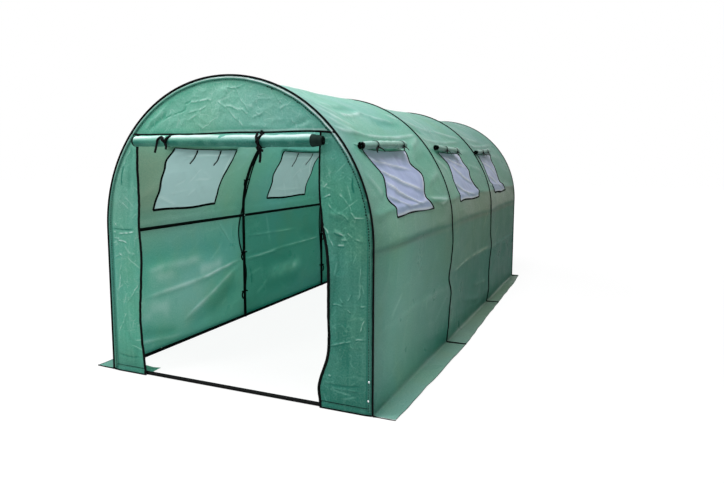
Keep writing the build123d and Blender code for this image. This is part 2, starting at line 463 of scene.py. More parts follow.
def polyethylene_sheet(name, green, bluish, yellowish, web_strength):
    material, tree = new_material(name)
    flat, place = on_cloth(tree), in_room(tree)
    crease_and_painted_light = add_node(tree, "Attribute", attribute_name="crease_and_painted_light").outputs["Fac"]
    mottle = noise(tree, place, 3.5, 5.0)
    web = short_creases(tree, place)
    uneven = stretch(tree, noise(tree, flat, 95.0), 0.3, 0.7, -tape_contrast, tape_contrast)
    shaded = total(tree, "ADD", crease_and_painted_light, uneven)
    crease_white_and_highlight = total(tree, "MULTIPLY_ADD", web, web_strength, shaded)
    colour = blend(tree, stretch(tree, noise(tree, place, 1.1), 0.4, 0.62), green, bluish)
    colour = blend(tree, stretch(tree, mottle, 0.5, 0.75, 0.0, 0.4), colour, yellowish)
    # The greyish-brown tint, mixed in where the ranges say.
    colour = blend(tree, brown_tint(tree, place), colour, "#92957D")
    # Painted shade from the mesh, with the tapes' uneven tone, darkens the green; crease whitening and painted
    # highlights whiten it.
    colour = blend(tree, stretch(tree, shaded, 0.0, -0.67, 0.0, 0.85), colour, "#007060")
    colour = blend(tree, stretch(tree, crease_white_and_highlight, 0.0, 1.5, 0.0, 0.95), colour, "#E6F7F7")
    weave = total(tree, "ADD", ribs(tree, flat, weave_pitch, "X"), ribs(tree, flat, weave_pitch, "Y"))
    bumps = relief(tree, web, 0.35, 0.002, Normal=relief(tree, weave, 0.35, 0.0006))
    film = {"Base Color": colour, "Roughness": stretch(tree, mottle, 0.35, 0.65, 0.27, 0.45), "Normal": bumps}
    surface = add_node(tree, "BsdfPrincipled", {"IOR": polyethylene_ior, "Specular IOR Level": 0.25, **film})
    show(tree, mixed(tree, 0.35, surface, add_node(tree, "BsdfTranslucent", {"Color": colour})))
    return material


cover_sheet = polyethylene_sheet("woven_polyethylene_green", "#64AF99", "#68AEA2", "#7DAD8C", 0.10)
panel_sheet = polyethylene_sheet("woven_polyethylene_green_creased", "#5FB199", "#63AFA0", "#74AD8C", 0.34)
print("made", cover_sheet.name, "and", panel_sheet.name)

# %% [markdown]
# ### Piping, ribbon, net, steel and zinc
#
# The seams are covered with black polyester piping, and the same yarn makes the ribbons: both are matte,
# with fine ribs across them. The window net is knitted from thin white polyethylene thread. Seen from a few
# metres its holes only let part of the light straight through, so it is part transparent. The nets of the
# left side are a copy painted a greener white, for the green light that reaches them through the cover. The
# frame is steel tube with a black powder coat, which is slightly pebbled and satin. The bolts are bright zinc.

# %% Ribbed polyester, knitted net, powder-coated steel, zinc and thread
def ribbed_polyester(name, yarn, rib_pitch):
    material, tree = new_material(name)
    flat = on_cloth(tree)
    shade = blend(tree, noise(tree, flat, 400.0), yarn, "#0C0F0F")
    bumps = relief(tree, ribs(tree, flat, rib_pitch, "X"), 0.5, 0.0006)
    matte = {"Roughness": 0.85, "IOR": 1.54, "Specular IOR Level": 0.06}
    show(tree, add_node(tree, "BsdfPrincipled", {**matte, "Base Color": shade, "Normal": bumps}))
    return material


def knitted_net(name, thread, shade, passing):
    material, tree = new_material(name)
    flat = on_cloth(tree)
    courses = ribs(tree, flat, 0.006, "Y", Distortion=0.6)
    net_whitening_and_painted_light = add_node(tree, "Attribute", attribute_name="crease_and_painted_light").outputs["Fac"]
    # Painted highlights along the folds, painted light under the roll and the pale hem whiten the net.
    colour = blend(tree, net_whitening_and_painted_light, blend(tree, courses, thread, shade), "#FBFAFF")
    satin = {"Roughness": 0.55, "IOR": polyethylene_ior, "Specular IOR Level": 0.3}
    bumps = relief(tree, courses, 0.3, 0.0005)
    yarn = add_node(tree, "BsdfPrincipled", {**satin, "Base Color": colour, "Normal": bumps})
    knit = mixed(tree, 0.28, yarn, add_node(tree, "BsdfTranslucent", {"Color": linear(passing)}))
    show(tree, mixed(tree, 0.04, knit, add_node(tree, "BsdfTransparent")))
    return material


def coated_metal(name, coat, metallic, gloss, rough_low, rough_high, pebble):
    material, tree = new_material(name)
    grain = noise(tree, in_room(tree), pebble)
    bumps = relief(tree, grain, 0.15, 0.0004)
    rough = stretch(tree, grain, 0.0, 1.0, rough_low, rough_high)
    finish = {"Base Color": linear(coat), "Metallic": metallic, "Specular IOR Level": gloss}
    show(tree, add_node(tree, "BsdfPrincipled", {**finish, "Roughness": rough, "Normal": bumps}))
    return material


piping_cloth = ribbed_polyester("polyester_piping_black", "#040506", 0.004)
window_net = knitted_net("knitted_net_white", "#C0C4EC", "#AAB0DC", "#A9CCCD")
# The left nets: the same net painted a greener white, for the green light through the cover.
green_lit_net = knitted_net("knitted_net_white_green_light", "#AFC9D0", "#9EBDC8", "#A9CCC8")
powder_coat = coated_metal("powder_coated_steel_black", "#060707", 0.0, 0.08, 0.5, 0.65, 350.0)
zinc = coated_metal("zinc_plated_steel", "#D4D8DA", 1.0, 0.5, 0.22, 0.38, 600.0)
thread = ribbed_polyester("polyester_thread_dark_green", "#14352B", 0.003)
binding_cloth = ribbed_polyester("polyester_binding_charcoal", "#141C1A", 0.005)
# The door roll's bound end: the charcoal binding painted lighter, as painted light on the roll's end.
lit_cap_cloth = ribbed_polyester("polyester_binding_charcoal_painted_light", "#263C36", 0.005)
print("finishes:", [m.name for m in (piping_cloth, window_net, powder_coat, zinc, thread, binding_cloth)])

# %% [markdown]
# ## The steel frame
#
# The hoops, rails and ground bars already have their true shape in the CAD model, so they only get their
# finish. Small zinc bolts hold the tubes together where rails and legs meet: each is a low rounded head,
# turned from a profile, because that is how a coach bolt looks from outside.

# %% Finish the tubes and add the bolts
for name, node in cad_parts.items():
    if name.endswith(("_hoop", "_rails", "_bar")):
        node.data.materials.clear()
        node.data.materials.append(powder_coat)


head_radius, head_height = 0.0068, 0.004
low_crossing, corner_bolts, bar_bolt = 0.633, (0.19, 0.30), 0.42


def bolt_head(place, facing, sides=10):
    """A domed bolt head whose base sits at place and whose top points along facing."""
    facing = Vector(facing).normalized()
    first = facing.orthogonal().normalized()
    second = facing.cross(first)
    profile = [(1.0, 0.0), (1.0, 0.35), (0.8, 0.75), (0.45, 0.95)]
    turn = np.linspace(0, 2 * pi, sides, endpoint=False)
    points = [
        Vector(place) + (first * cos(a) + second * sin(a)) * head_radius * r + facing * head_height * h
        for r, h in profile
        for a in turn
    ]
    points.append(Vector(place) + facing * head_height)
    last = (len(profile) - 1) * sides
    top = [(last + k, last + (k + 1) % sides, len(points) - 1) for k in range(sides)]
    faces = ring_faces(len(profile), sides) + top
    points = np.array([tuple(p) for p in points])
    return points, faces, points[:, :2], np.zeros(len(points))


bolts = []
leg_inside = hoop_radius - tube_radius
for y in hoop_y[1:3]:
    for side in (-1, 1):
        for z in (shoulder_z, low_crossing):
            bolts.append(bolt_head((side * leg_inside, y, z), (-side, 0, 0)))
for side in (-1, 1):
    for z in (*corner_bolts, shoulder_z):
        bolts.append(bolt_head((side * leg_inside, hoop_y[0], z), (-side, 0, 0)))
    bolts.append(bolt_head((side * hoop_radius, hoop_y[0] + bar_bolt, 2 * tube_radius), upwards))
for x, z in ((0.975, 0.210), (0.971, 0.094)):
    bolts.append(bolt_head((x, front_y - 0.0045, z), to_the_door))
make_piece("frame_bolts", bolts, zinc, "frame_tube")
print(len(bolts), "bolt heads")

# %% [markdown]
# ## Where the cover's cloth lies
#
# The cover is easiest to describe by unrolling it: one direction runs along the tunnel, the other up from
# the ground over the wall and the arch to the ridge. One function rolls such a flat place back into space.
# On the hoops the cloth follows the arch exactly. Between them it sags inwards, most at half way up the
# roof, because only the hoops carry it. At the foot it turns out over the ground and becomes the skirt,
# with a sharp bend that is a little softer between two hoops.

# %% From flat cloth to the tunnel
cloth_half = 0.0015  # half the thickness of the CAD model's cloth, so the sheet here lies in its middle
sheet_radius = arch_radius - cloth_half
ridge = wall_top + sheet_radius * pi / 2
roof_sag = 0.060
wall_bow = 0.014
skirt_y = [front_y, front_y + 0.8, front_y + 1.55, front_y + 2.4, front_y + 3.1, front_y + 3.9, rear_y]
skirt_reach = {
    1: [0.150, 0.168, 0.172, 0.150, 0.134, 0.120, 0.095],
    -1: [0.165, 0.15, 0.16, 0.14, 0.15, 0.16, 0.15],
}


def share_of_bay(y):
    """0 at a hoop and 1 half way between two hoops."""
    y = np.asarray(y, float)
    bay = np.clip(np.searchsorted(hoop_y, y) - 1, 0, 2)
    start, end = np.array(hoop_y)[bay], np.array(hoop_y)[bay + 1]
    t = clamp((y - start) / (end - start))
    return 4 * t * (1 - t)


def sag_depth(angle):
    """Depth of the sag half way between hoops: a flatter arc hangs from the same two ends."""
    half_chord = arch_radius * sin(pi / 4)
    rise = arch_radius - roof_sag - half_chord
    flat_radius = (half_chord**2 + rise**2) / (2 * rise)
    centre = arch_radius - roof_sag - flat_radius
    off = angle - pi / 4
    return arch_radius - centre * np.cos(off) - np.sqrt(flat_radius**2 - (centre * np.sin(off)) ** 2)


def cover_point(side, y, s, lift=0.0):
    """Place and outward normal of the cover. side is 1 on the right and -1 on the left, s runs up the cloth."""
    side, y, s, lift = np.broadcast_arrays(side, y, s, lift)
    slackness = share_of_bay(y)
    reach = np.where(side > 0, through(y, skirt_y, skirt_reach[1]), through(y, skirt_y, skirt_reach[-1]))
    reach = reach - 0.006 + 0.006 * slack(y, np.zeros_like(y), 0.24, 57)
    s = np.where(s < 0, s * reach / skirt_width, s)
    bend = 0.004 + 0.008 * slackness
    angle = np.clip(s - wall_top, 0, None) / sheet_radius
    up, out = bend * np.logaddexp(0, s / bend), bend * np.logaddexp(0, -s / bend)
    standing = 1 / (1 + np.exp(-np.clip(s / bend, -60, 60)))
    on_roof = s > wall_top
    x = sheet_radius * np.cos(angle) + np.where(on_roof, 0, out)
    z = np.where(on_roof, wall_top + sheet_radius * np.sin(angle), 0.002 + up * (1 - 0.002 / wall_top))
    normal_x = np.where(on_roof, np.cos(angle), standing)
    normal_z = np.where(on_roof, np.sin(angle), 1 - standing)
    size = np.hypot(normal_x, normal_z)
    normal_x, normal_z = normal_x / size, normal_z / size
    below_rail = wall_bow * np.sin(pi * ramp(s, 0, shoulder_z - tube_radius))
    depth = np.where(on_roof, sag_depth(angle), below_rail)
    offset = lift - depth * slackness
    point = places(side * (x + normal_x * offset), y, z + normal_z * offset)
    return point, places(side * normal_x, 0, normal_z)


print("the roof's middle hangs", round(float(sag_depth(np.array(pi / 4))) * 1000), "mm below the hoops")

# %% [markdown]
# ## Wandering seams
#
# No seam on a sewn cover is quite straight. Near a window or a hoop seam the cloth's places are shifted a
# little along the cloth, and the shift fades out with distance, so neighbouring pieces keep a common edge.

# %% Shift of the cloth
window_half = 0.360
window_low, window_high = wall_top + 0.108, wall_top + 0.632
bay_middle = [(a + b) / 2 for a, b in zip(hoop_y[:-1], hoop_y[1:])]
# How far the seam at the second hoop (1) and the third (2) is shifted, right (1) and left (-1).
seam_wander = {
    (1, 1): (
        [0, 0.12, 0.28, 0.43, 0.53, 0.68, 0.82, 1.0, 1.25, 1.6, ridge],
        [0, -0.02, 0.0, 0.035, -0.03, 0.02, 0.06, 0.03, 0.02, 0, 0],
    ),
    (1, 2): (
        [0, 0.06, 0.34, 0.46, 0.6, 0.72, 0.87, 1.0, 1.24, 1.6, ridge],
        [0, 0.01, -0.01, 0.02, 0.09, 0.03, 0.02, 0.01, 0.015, 0, 0],
    ),
    (-1, 1): (
        [0, 0.25, 0.4, 0.55, 0.7, 0.85, 0.95, 1.05, 1.6, ridge],
        [0.03, 0.05, 0.07, 0.04, -0.02, -0.03, 0.0, 0.04, 0.04, 0],
    ),
    (-1, 2): ([0, 0.3, 0.5, 0.75, 1.0, 1.6, ridge], [0.03, 0.05, 0.03, 0.01, 0.04, 0.04, 0]),
}
# How far a window's near edge and its far edge are shifted at seven heights.
sway_levels = window_low + np.array([0.0, 0.08, 0.16, 0.24, 0.32, 0.40, 0.50])
window_sways = {
    (1, 0): ([0.05, 0.03, -0.06, -0.015, 0.02, -0.04, -0.15], [0.06, -0.045, -0.05, 0.015, 0.03, -0.07, -0.06]),
    (1, 1): ([0.07, 0.05, 0.03, 0.03, 0.09, 0.13, 0.05], [0.045, 0.06, -0.02, -0.06, 0.0, -0.04, -0.05]),
    (1, 2): ([0.05, -0.02, -0.08, -0.10, -0.08, -0.04, -0.03], [-0.16, -0.19, -0.24, -0.23, -0.19, -0.18, -0.20]),
    (-1, 0): ([-0.01, 0.01, 0.03, 0.02, 0.01, -0.01, 0.02], [-0.03, -0.01, -0.01, 0.0, 0.02, 0.03, 0.04]),
    (-1, 1): ([-0.01, 0.01, 0.02, 0.0, 0.01, 0.02, -0.02], [0.02, 0.0, 0.01, 0.02, 0.01, 0.0, 0.02]),
    (-1, 2): ([0.02, 0.0, -0.02, 0.01, 0.02, -0.01, -0.02], [0.02, 0.0, -0.02, -0.01, 0.02, 0.01, -0.02]),
}


def shifted(side, bay, y, s):
    """Flat places moved a little, so that the window edges and the hoop seams wander."""
    middle = bay_middle[bay]
    new_y, new_s = np.array(y, float), np.array(s, float)
    level = np.clip(s, window_low, window_high)
    beside = clamp(1.35 - np.abs(s - (window_low + window_high) / 2) / 0.42)
    free = ramp(np.minimum(y - hoop_y[bay], hoop_y[bay + 1] - y), 0, 0.2)
    for edge, sways in zip((-1, 1), window_sways[side, bay]):
        nearness = hump(y - middle, edge * window_half, 0.30) * free
        new_y += nearness * through(level, sway_levels, sways) * beside * beside
    nearness = hump(s, window_low, 0.10)
    inside = ramp(np.abs(y - middle), 0.62, -0.2)
    droop = 0.034 if side > 0 else -0.010
    new_s += nearness * inside * (droop + 0.005 * np.sin((y - middle) * 2 * pi / 0.6 + bay + 2 * side))
    for seam in (1, 2):
        if bay in (seam - 1, seam):
            nearness = hump(y, hoop_y[seam], 0.16)
            new_y += nearness * through(np.clip(s, 0, ridge), *seam_wander[side, seam])
    return new_y, new_s


print("windows from", round(window_low, 3), "to", round(window_high, 3), "m up the cloth")

# %% [markdown]
# ## Folds of each bay
#
# Each bay's cloth gets its own lift: creases from packing that run along the tunnel, folds that fan out
# from the hoops, and slow slackness between them. The lift fades to nothing on the hoops. The most visible
# folds are drawn as strokes, one by one, and random ones fill in between. The same function also paints
# light and shade into the cloth: a painted sheen in the roof, painted shade low on the walls and the
# painted shadow of the shoulder rail.

# %% Strokes on the cloth
# Each stroke is one fold: y and s of both ends on the cloth, its width and height, and the strength of its
# painted highlight (above 0) or painted shade (below 0).
front, second, third, rear = hoop_y
strokes = {
    (1, 0): [
        (front - 0.5, 1.176, second + 0.5, 1.18, 0.03, 0.007, -0.12),
        (-1.1, 1.21, -0.68, 1.185, 0.016, 0.006, 0.7), (-0.95, 1.13, -0.69, 1.215, 0.014, 0.005, 0.5),
        (front - 0.3, 0.48, second + 0.3, 0.49, 0.03, 0.006, 0.1),
        (front - 0.1, 1.747, -1.6, 1.78, 0.02, 0.008, 0.5), (-1.8, 1.772, -1.1, 1.762, 0.018, 0.008, 0.55),
        (-1.35, 1.76, -0.66, 1.772, 0.018, 0.008, 0.6), (front, 1.69, -1.2, 1.7, 0.06, -0.008, -0.25),
        (front + 0.02, 1.96, -1.66, 1.82, 0.04, 0.01, 0.45),
        (front + 0.02, 1.86, -1.7, 1.76, 0.035, 0.008, 0.35),
        (front + 0.05, 2.08, -1.75, 1.93, 0.035, 0.009, 0.35), (-1.76, 1.97, -1.45, 2.0, 0.022, 0.008, 0.6),
        (-1.55, 1.985, -1.2, 2.08, 0.024, 0.008, 0.5), (-1.35, 2.09, -1.12, 2.02, 0.03, 0.008, 0.35),
        (-1.2, 2.04, -0.85, 1.92, 0.03, 0.01, 0.5), (-1.75, 2.088, -1.2, 2.13, 0.05, -0.01, -0.4),
        (-1.9, 2.07, -1.38, 2.15, 0.035, 0.01, 0.3), (-1.3, 1.935, -0.78, 1.912, 0.05, -0.008, -0.35),
        (-0.86, 2.06, -0.7, 1.94, 0.026, 0.006, 0.6), (-0.74, 1.99, -0.72, 1.82, 0.022, 0.006, 0.6),
        (-2.15, 1.44, -1.86, 1.27, 0.03, 0.01, 0.3), (-1.0, 1.64, -0.72, 1.76, 0.03, 0.01, 0.3),
        (-1.02, 1.52, -0.74, 1.56, 0.06, -0.01, -0.2), (-1.05, 1.33, -0.76, 1.42, 0.04, 0.01, 0.2),
        (-2.0, 2.33, -1.2, 2.42, 0.05, 0.01, 0.2),
    ],
    (1, 1): [
        (second - 0.5, 1.18, third + 0.5, 1.17, 0.03, 0.007, -0.1),
        (second + 0.08, 0.56, 0.2, 0.592, 0.011, 0.009, 0.85),
        (0.05, 0.59, third - 0.02, 0.598, 0.011, 0.009, 0.95),
        (second + 0.45, 0.255, 0.46, 0.11, 0.03, 0.009, -0.2),
        (0.15, 0.3, third - 0.05, 0.25, 0.025, 0.008, 0.2), (second, 1.76, third, 1.77, 0.022, 0.01, 0.4),
        (second + 0.05, 2.05, 0.15, 1.9, 0.035, 0.012, 0.5),
        (second + 0.05, 1.95, -0.2, 1.86, 0.04, -0.01, -0.35),
        (0.1, 1.96, third - 0.03, 1.78, 0.03, 0.012, 0.5), (0.0, 1.7, third - 0.03, 1.62, 0.04, 0.01, 0.3),
        (second + 0.05, 1.56, second + 0.3, 1.42, 0.03, 0.01, 0.4),
        (0.45, 1.48, third - 0.03, 1.4, 0.03, 0.009, 0.3),
    ],
    (1, 2): [
        (third - 0.5, 1.175, rear + 0.5, 1.17, 0.03, 0.007, -0.1),
        (third + 0.02, 1.24, rear - 0.1, 1.2, 0.025, 0.012, 0.6),
        (third - 0.2, 0.56, rear + 0.2, 0.54, 0.022, 0.008, 0.25),
        (third + 0.05, 0.52, rear - 0.3, 0.3, 0.04, -0.008, -0.2),
        (third, 1.76, rear, 1.775, 0.022, 0.01, 0.4),
        (third + 0.05, 1.96, rear - 0.4, 1.84, 0.04, 0.012, 0.5),
        (1.4, 1.7, rear - 0.03, 1.56, 0.04, 0.012, 0.4), (third + 0.1, 1.64, 1.5, 1.72, 0.04, -0.01, -0.3),
    ],
    (-1, 0): [
        (front - 0.5, 1.0, second + 0.5, 1.04, 0.03, 0.006, 0.12),
        (-0.7, 0.552, -1.35, 0.462, 0.014, 0.018, 1.0), (-1.15, 0.482, -1.95, 0.44, 0.022, 0.014, 0.55),
        (-0.74, 0.5, -1.55, 0.15, 0.022, 0.022, 0.6), (-0.8, 0.4, -1.5, 0.06, 0.07, -0.016, -0.3),
        (-0.72, 0.33, -1.3, 0.13, 0.11, -0.016, -0.35), (-0.9, 0.575, -1.4, 0.545, 0.08, 0.014, 0.35),
        (-1.55, 0.61, -1.92, 0.56, 0.09, 0.014, 0.3), (-1.6, 0.3, -2.1, 0.38, 0.11, 0.01, 0.35),
        (-1.2, 0.66, -2.0, 0.64, 0.05, 0.01, 0.35), (-2.02, 0.185, -1.55, 0.085, 0.045, -0.012, -0.25),
        (-2.05, 0.125, -1.45, 0.045, 0.02, 0.01, 0.6), (-0.79, 0.93, -0.8, 0.64, 0.02, 0.012, -0.1),
        (-1.04, 0.93, -0.82, 0.7, 0.012, 0.008, 0.25), (front, 0.72, second, 0.7, 0.09, -0.01, -0.15),
        (-1.6, 1.48, -2.05, 1.13, 0.06, 0.01, 0.1),
    ],
    (-1, 1): [
        (second - 0.2, 1.03, third + 0.2, 1.05, 0.03, 0.006, 0.15),
        (-0.76, 0.53, 0.0, 0.575, 0.011, 0.014, 1.0), (-0.2, 0.574, third + 0.1, 0.58, 0.011, 0.014, 0.9),
        (-0.66, 0.762, 0.3, 0.736, 0.01, 0.008, 0.5), (-0.35, 0.33, 0.45, 0.35, 0.075, 0.014, 0.6),
        (-0.62, 0.47, 0.25, 0.45, 0.09, -0.012, -0.15), (-0.6, 0.2, 0.4, 0.18, 0.09, -0.01, -0.15),
        (0.3, 0.7, third, 0.64, 0.08, -0.01, -0.1), (-0.64, 0.48, -0.58, 0.26, 0.018, 0.01, -0.35),
    ],
    (-1, 2): [(third, 0.56, rear, 0.57, 0.02, 0.012, 0.3)],
}
print("strokes of each bay:", [len(rows) for rows in strokes.values()])

# %% Lift and creasing of a bay
def stand_off(y, s):
    """The cover is wider than the frame at the two middle hoops, so its walls hang a little outside them."""
    away = np.zeros_like(np.asarray(y, float))
    for hoop in hoop_y[1:3]:
        away += 0.020 * hump(y, hoop, 0.30)
    return away * ramp(s, 0, 0.15) * ramp(s, 1.5, -0.4)


def bay_lift(side, bay, y, s):
    """How far the cloth of a bay stands out of its smooth shape, and its creasing with painted light and shade."""
    start, end = hoop_y[bay], hoop_y[bay + 1]
    chance = np.random.default_rng(100 + 10 * bay + (side > 0))
    lift = 0.005 * slack(y, s, 0.5, 7 + bay + side) + 0.003 * slack(y, s, 0.2, 17 + bay + side)
    # The tone is painted shade (below 0) or painted light (above 0): painted shade toward the back, below the
    # shoulder rail, as the rail's shadow through the cloth and at the foot, and on the right also below a fold
    # line (step), under the window and low in front of the second hoop.
    rail_shadow = hump(s - shoulder_z, 0.010, 0.016) * (side > 0)
    back = ramp(y, front_y, 3.8)
    below = ramp(s, shoulder_z + 0.01, -0.05) * ramp(s, -0.005, 0.05)
    foot_shade = hump(s, 0.022, 0.018)
    if side > 0:
        step_s = 0.585 - 0.02 * (y < second) + 0.01 * slack(y, s * 0, 0.4, 29)
        step = ramp(s, step_s, -0.02) * ramp(y - second, -0.1, 0.3)
        under_window = ramp(s, 1.185, -0.02) * ramp(s, shoulder_z, 0.02)
        corner = clamp(1.2 - np.hypot((y - second) / 0.9, s / 0.5)) * (y < second)
        wall_shade = 0.12 + 0.20 * back + 0.30 * (1 - s) * (0.2 + back) + 0.24 * step + 0.32 * corner
        painted_tone = -below * wall_shade - 0.02 * back
        painted_tone = painted_tone - 0.32 * rail_shadow * (1 + 0.3 * slack(y, s, 0.3, 27)) - 0.10 * foot_shade
        painted_tone = painted_tone - under_window * 0.10 * np.clip(back * 2, 0.2, 1) + 0.05 * slack(y, s, 0.28, 31)
        # Painted light on the right skirt, fading toward the back.
        painted_tone = painted_tone + 0.20 * ramp(s, 0, -0.05) * (1 - back)
    else:
        # On the left: painted shade, deeper in the further bays, at the foot, high up near the door and along a line
        # at 1.06 m.
        painted_tone = -below * (0.0, 0.26, 0.30)[bay] - (0.04, 0.14, 0.18)[bay] - 0.45 * foot_shade
        painted_tone = painted_tone - 0.22 * ramp(s, 0.9, 0.2) * clamp(1.1 - (y - front_y) / 0.9)
        painted_tone = painted_tone - 0.10 * clamp(1 - np.abs(s - 1.06) / 0.08)
    # Painted sheen on the roof, where the cloth faces the sky.
    painted_tone = painted_tone * ramp(s, ridge, -0.5) + 0.17 * ramp(s, 1.5, 0.5)
    # The drawn strokes with their painted highlights and painted shade, and then four random ones that fan out from
    # the hoops.
    white = np.zeros_like(lift)
    for *ends, width, height, strength in strokes[side, bay]:
        one = fold(y, s, ends, width)
        lift += one * height
        if strength > 0:
            white = np.maximum(white, one**2 * strength * (0.75 + 0.5 * slack(y, s, 0.07, 37)))
        else:
            painted_tone = painted_tone + one * strength * 0.65
    # A painted pool of light low on the left wall of the first bay.
    if side < 0 and bay == 0:
        white = white + 0.25 * clamp(1.3 - np.hypot(y + 1.45, (s - 0.36) * 1.4) / 0.45)
    for _ in range(4):
        at_start = chance.random() < 0.5
        a = start + 0.02 if at_start else end - 0.02
        low = chance.uniform(0.3, ridge)
        reach = chance.uniform(0.3, 0.9) * (1 if at_start else -1)
        tilt = chance.uniform(-0.25, 0.25)
        width, height = chance.uniform(0.04, 0.10), chance.uniform(-5, 5) / 1000
        lift += fold(y, s, (a, low, a + reach, low + tilt), width, height)
    raised, fine = creases(y, s, 16, 0.4, 300 + 10 * bay + side, 0.015, 0.0015)
    web = crumple(y, s, 0.16, 400 + 10 * bay + side)
    # All of it fades out at the hoops and at the foot, and nothing dips into the rails.
    fade = ease(ramp(np.minimum(y - start, end - y), 0, 0.10)) * ramp(s, -0.02, 0.15)
    lift = (lift + raised + 0.003 * web - 0.0015) * fade
    on_rail = np.maximum(hump(s, shoulder_z, 0.035), hump(s, ridge, 0.05))
    lift = np.where(lift < 0, lift * (1 - on_rail), lift)
    skirt = ramp(s, 0, -skirt_width) * 0.006 * (1 + slack(y, s, 0.12, 55 + side))
    white = np.maximum(np.maximum(white, fine * 0.3), 0.15 * clamp(web * 1.6 - 0.9)) * fade
    return lift + skirt + stand_off(y, s), white + np.clip(painted_tone, -0.9, 0.3)


print("the cover hangs", round(float(stand_off(hoop_y[1], 0.8)) * 1000), "mm outside the middle hoops")

# %% [markdown]
# ## The cover, bay by bay
#
# A sewn cover has one panel for each bay, from the edge of one skirt over the roof to the edge of the other.
# Each is one grid here. Rows and columns of the grid are placed so that some of them fall on the window
# edges, and the faces inside the windows are left out. That gives a true hole without any cutting.

# %% Build three bay panels
end_inset = 0.010
panel_starts = [front_y + end_inset, second, third]
panel_ends = [second, third, rear_y - end_inset]


def spaced(stops, counts):
    """Places from stop to stop, each stretch with its own number of even steps."""
    stretches = zip(stops[:-1], stops[1:], counts)
    return np.concatenate([*(np.linspace(a, b, n, endpoint=False) for a, b, n in stretches), stops[-1:]])


# Up the cloth the rows are closer together round the foot, and both ways they meet the window edges.
up = spaced((-skirt_width, -0.03, 0.05, window_low, window_high, ridge), (9, 9, 96, 44, 89))


def columns_along(bay):
    near, far = bay_middle[bay] - window_half, bay_middle[bay] + window_half
    return spaced((panel_starts[bay], near, far, panel_ends[bay]), (36, 60, 36))


def cloth_at(side, bay, y, s, extra=0.0):
    """Points, normals and creasing of a bay's cloth at flat places."""
    lift, white = bay_lift(side, bay, y, s)
    new_y, new_s = shifted(side, bay, y, s)
    point, normal = cover_point(side, new_y, new_s, lift + extra)
    return point, normal, white


for bay in range(3):
    along, halves = columns_along(bay), []
    for side in (1, -1):
        y, s = np.meshgrid(along, up)
        points, normals, white = cloth_at(side, bay, y, s)
        halves.append((points, places(y, s if side > 0 else 2 * ridge - s), white))
    points, flat, white = (np.concatenate([right, left[::-1][1:]]) for right, left in zip(*halves))
    middle_s, middle_y = (up[:-1] + up[1:]) / 2, (along[:-1] + along[1:]) / 2
    middle_s = np.r_[middle_s, middle_s[::-1]]
    in_rows = (middle_s > window_low) & (middle_s < window_high)
    in_columns = np.abs(middle_y - bay_middle[bay]) < window_half
    keep = ~(in_rows[:, None] & in_columns[None, :])
    hidden = [f"bay_{bay + 1}_{side}_{part}" for side in ("left", "right") for part in ("wall", "roof")]
    patch = grid_patch(points, flat, white, keep)
    cover = make_piece(
        f"bay_{bay + 1}_cover", [patch], cover_sheet, "cover_sheet", *hidden, "left_skirt", "right_skirt"
    )
    print(cover.name, len(cover.data.polygons), "faces")

# %% [markdown]
# ## Window nets and their bindings
#
# Each window is a knitted net sewn behind the opening, so its edge lies exactly where the cover ends. The
# net was folded for the packet and its diagonal folds still show, with painted highlights along them. A
# black binding is sewn over the edge. It is a band that follows the edge of the hole, so it wanders with the
# cloth, and a few thin strings for the rolled flap hang behind the net.

# %% Folds of the nets
# Diagonal folds of each bay's net: y from the window's middle and s of both ends, and the strength of their painted
# highlight.
net_folds = {
    1: (
        (
            (-0.50, 1.575, 0.34, 1.450, 0.7), (-0.46, 1.500, 0.40, 1.255, 1.0), (-0.42, 1.415, 0.30, 1.135, 1.0),
            (-0.38, 1.320, 0.02, 1.120, 0.6), (-0.10, 1.150, 0.40, 1.200, 0.5),
        ),
        (
            (-0.44, 1.600, 0.42, 1.440, 0.8), (-0.40, 1.530, 0.42, 1.260, 1.0), (-0.40, 1.340, 0.14, 1.115, 1.0),
            (-0.30, 1.240, 0.30, 1.140, 0.6),
        ),
        ((-0.42, 1.560, 0.40, 1.330, 0.9), (-0.40, 1.400, 0.30, 1.130, 0.9)),
    ),
    -1: (
        ((-0.40, 1.23, -0.10, 1.12, 0.5), (0.30, 1.60, 0.38, 1.20, 0.7), (-0.30, 1.56, 0.36, 1.58, 0.6)),
        ((0.20, 1.62, 0.40, 1.15, 0.7), (-0.36, 1.57, 0.36, 1.56, 0.5), (-0.36, 1.20, 0.36, 1.18, 0.4)),
        ((-0.30, 1.55, 0.30, 1.15, 0.6),),
    ),
}
print("folds of the right nets:", [len(rows) for rows in net_folds[1]])

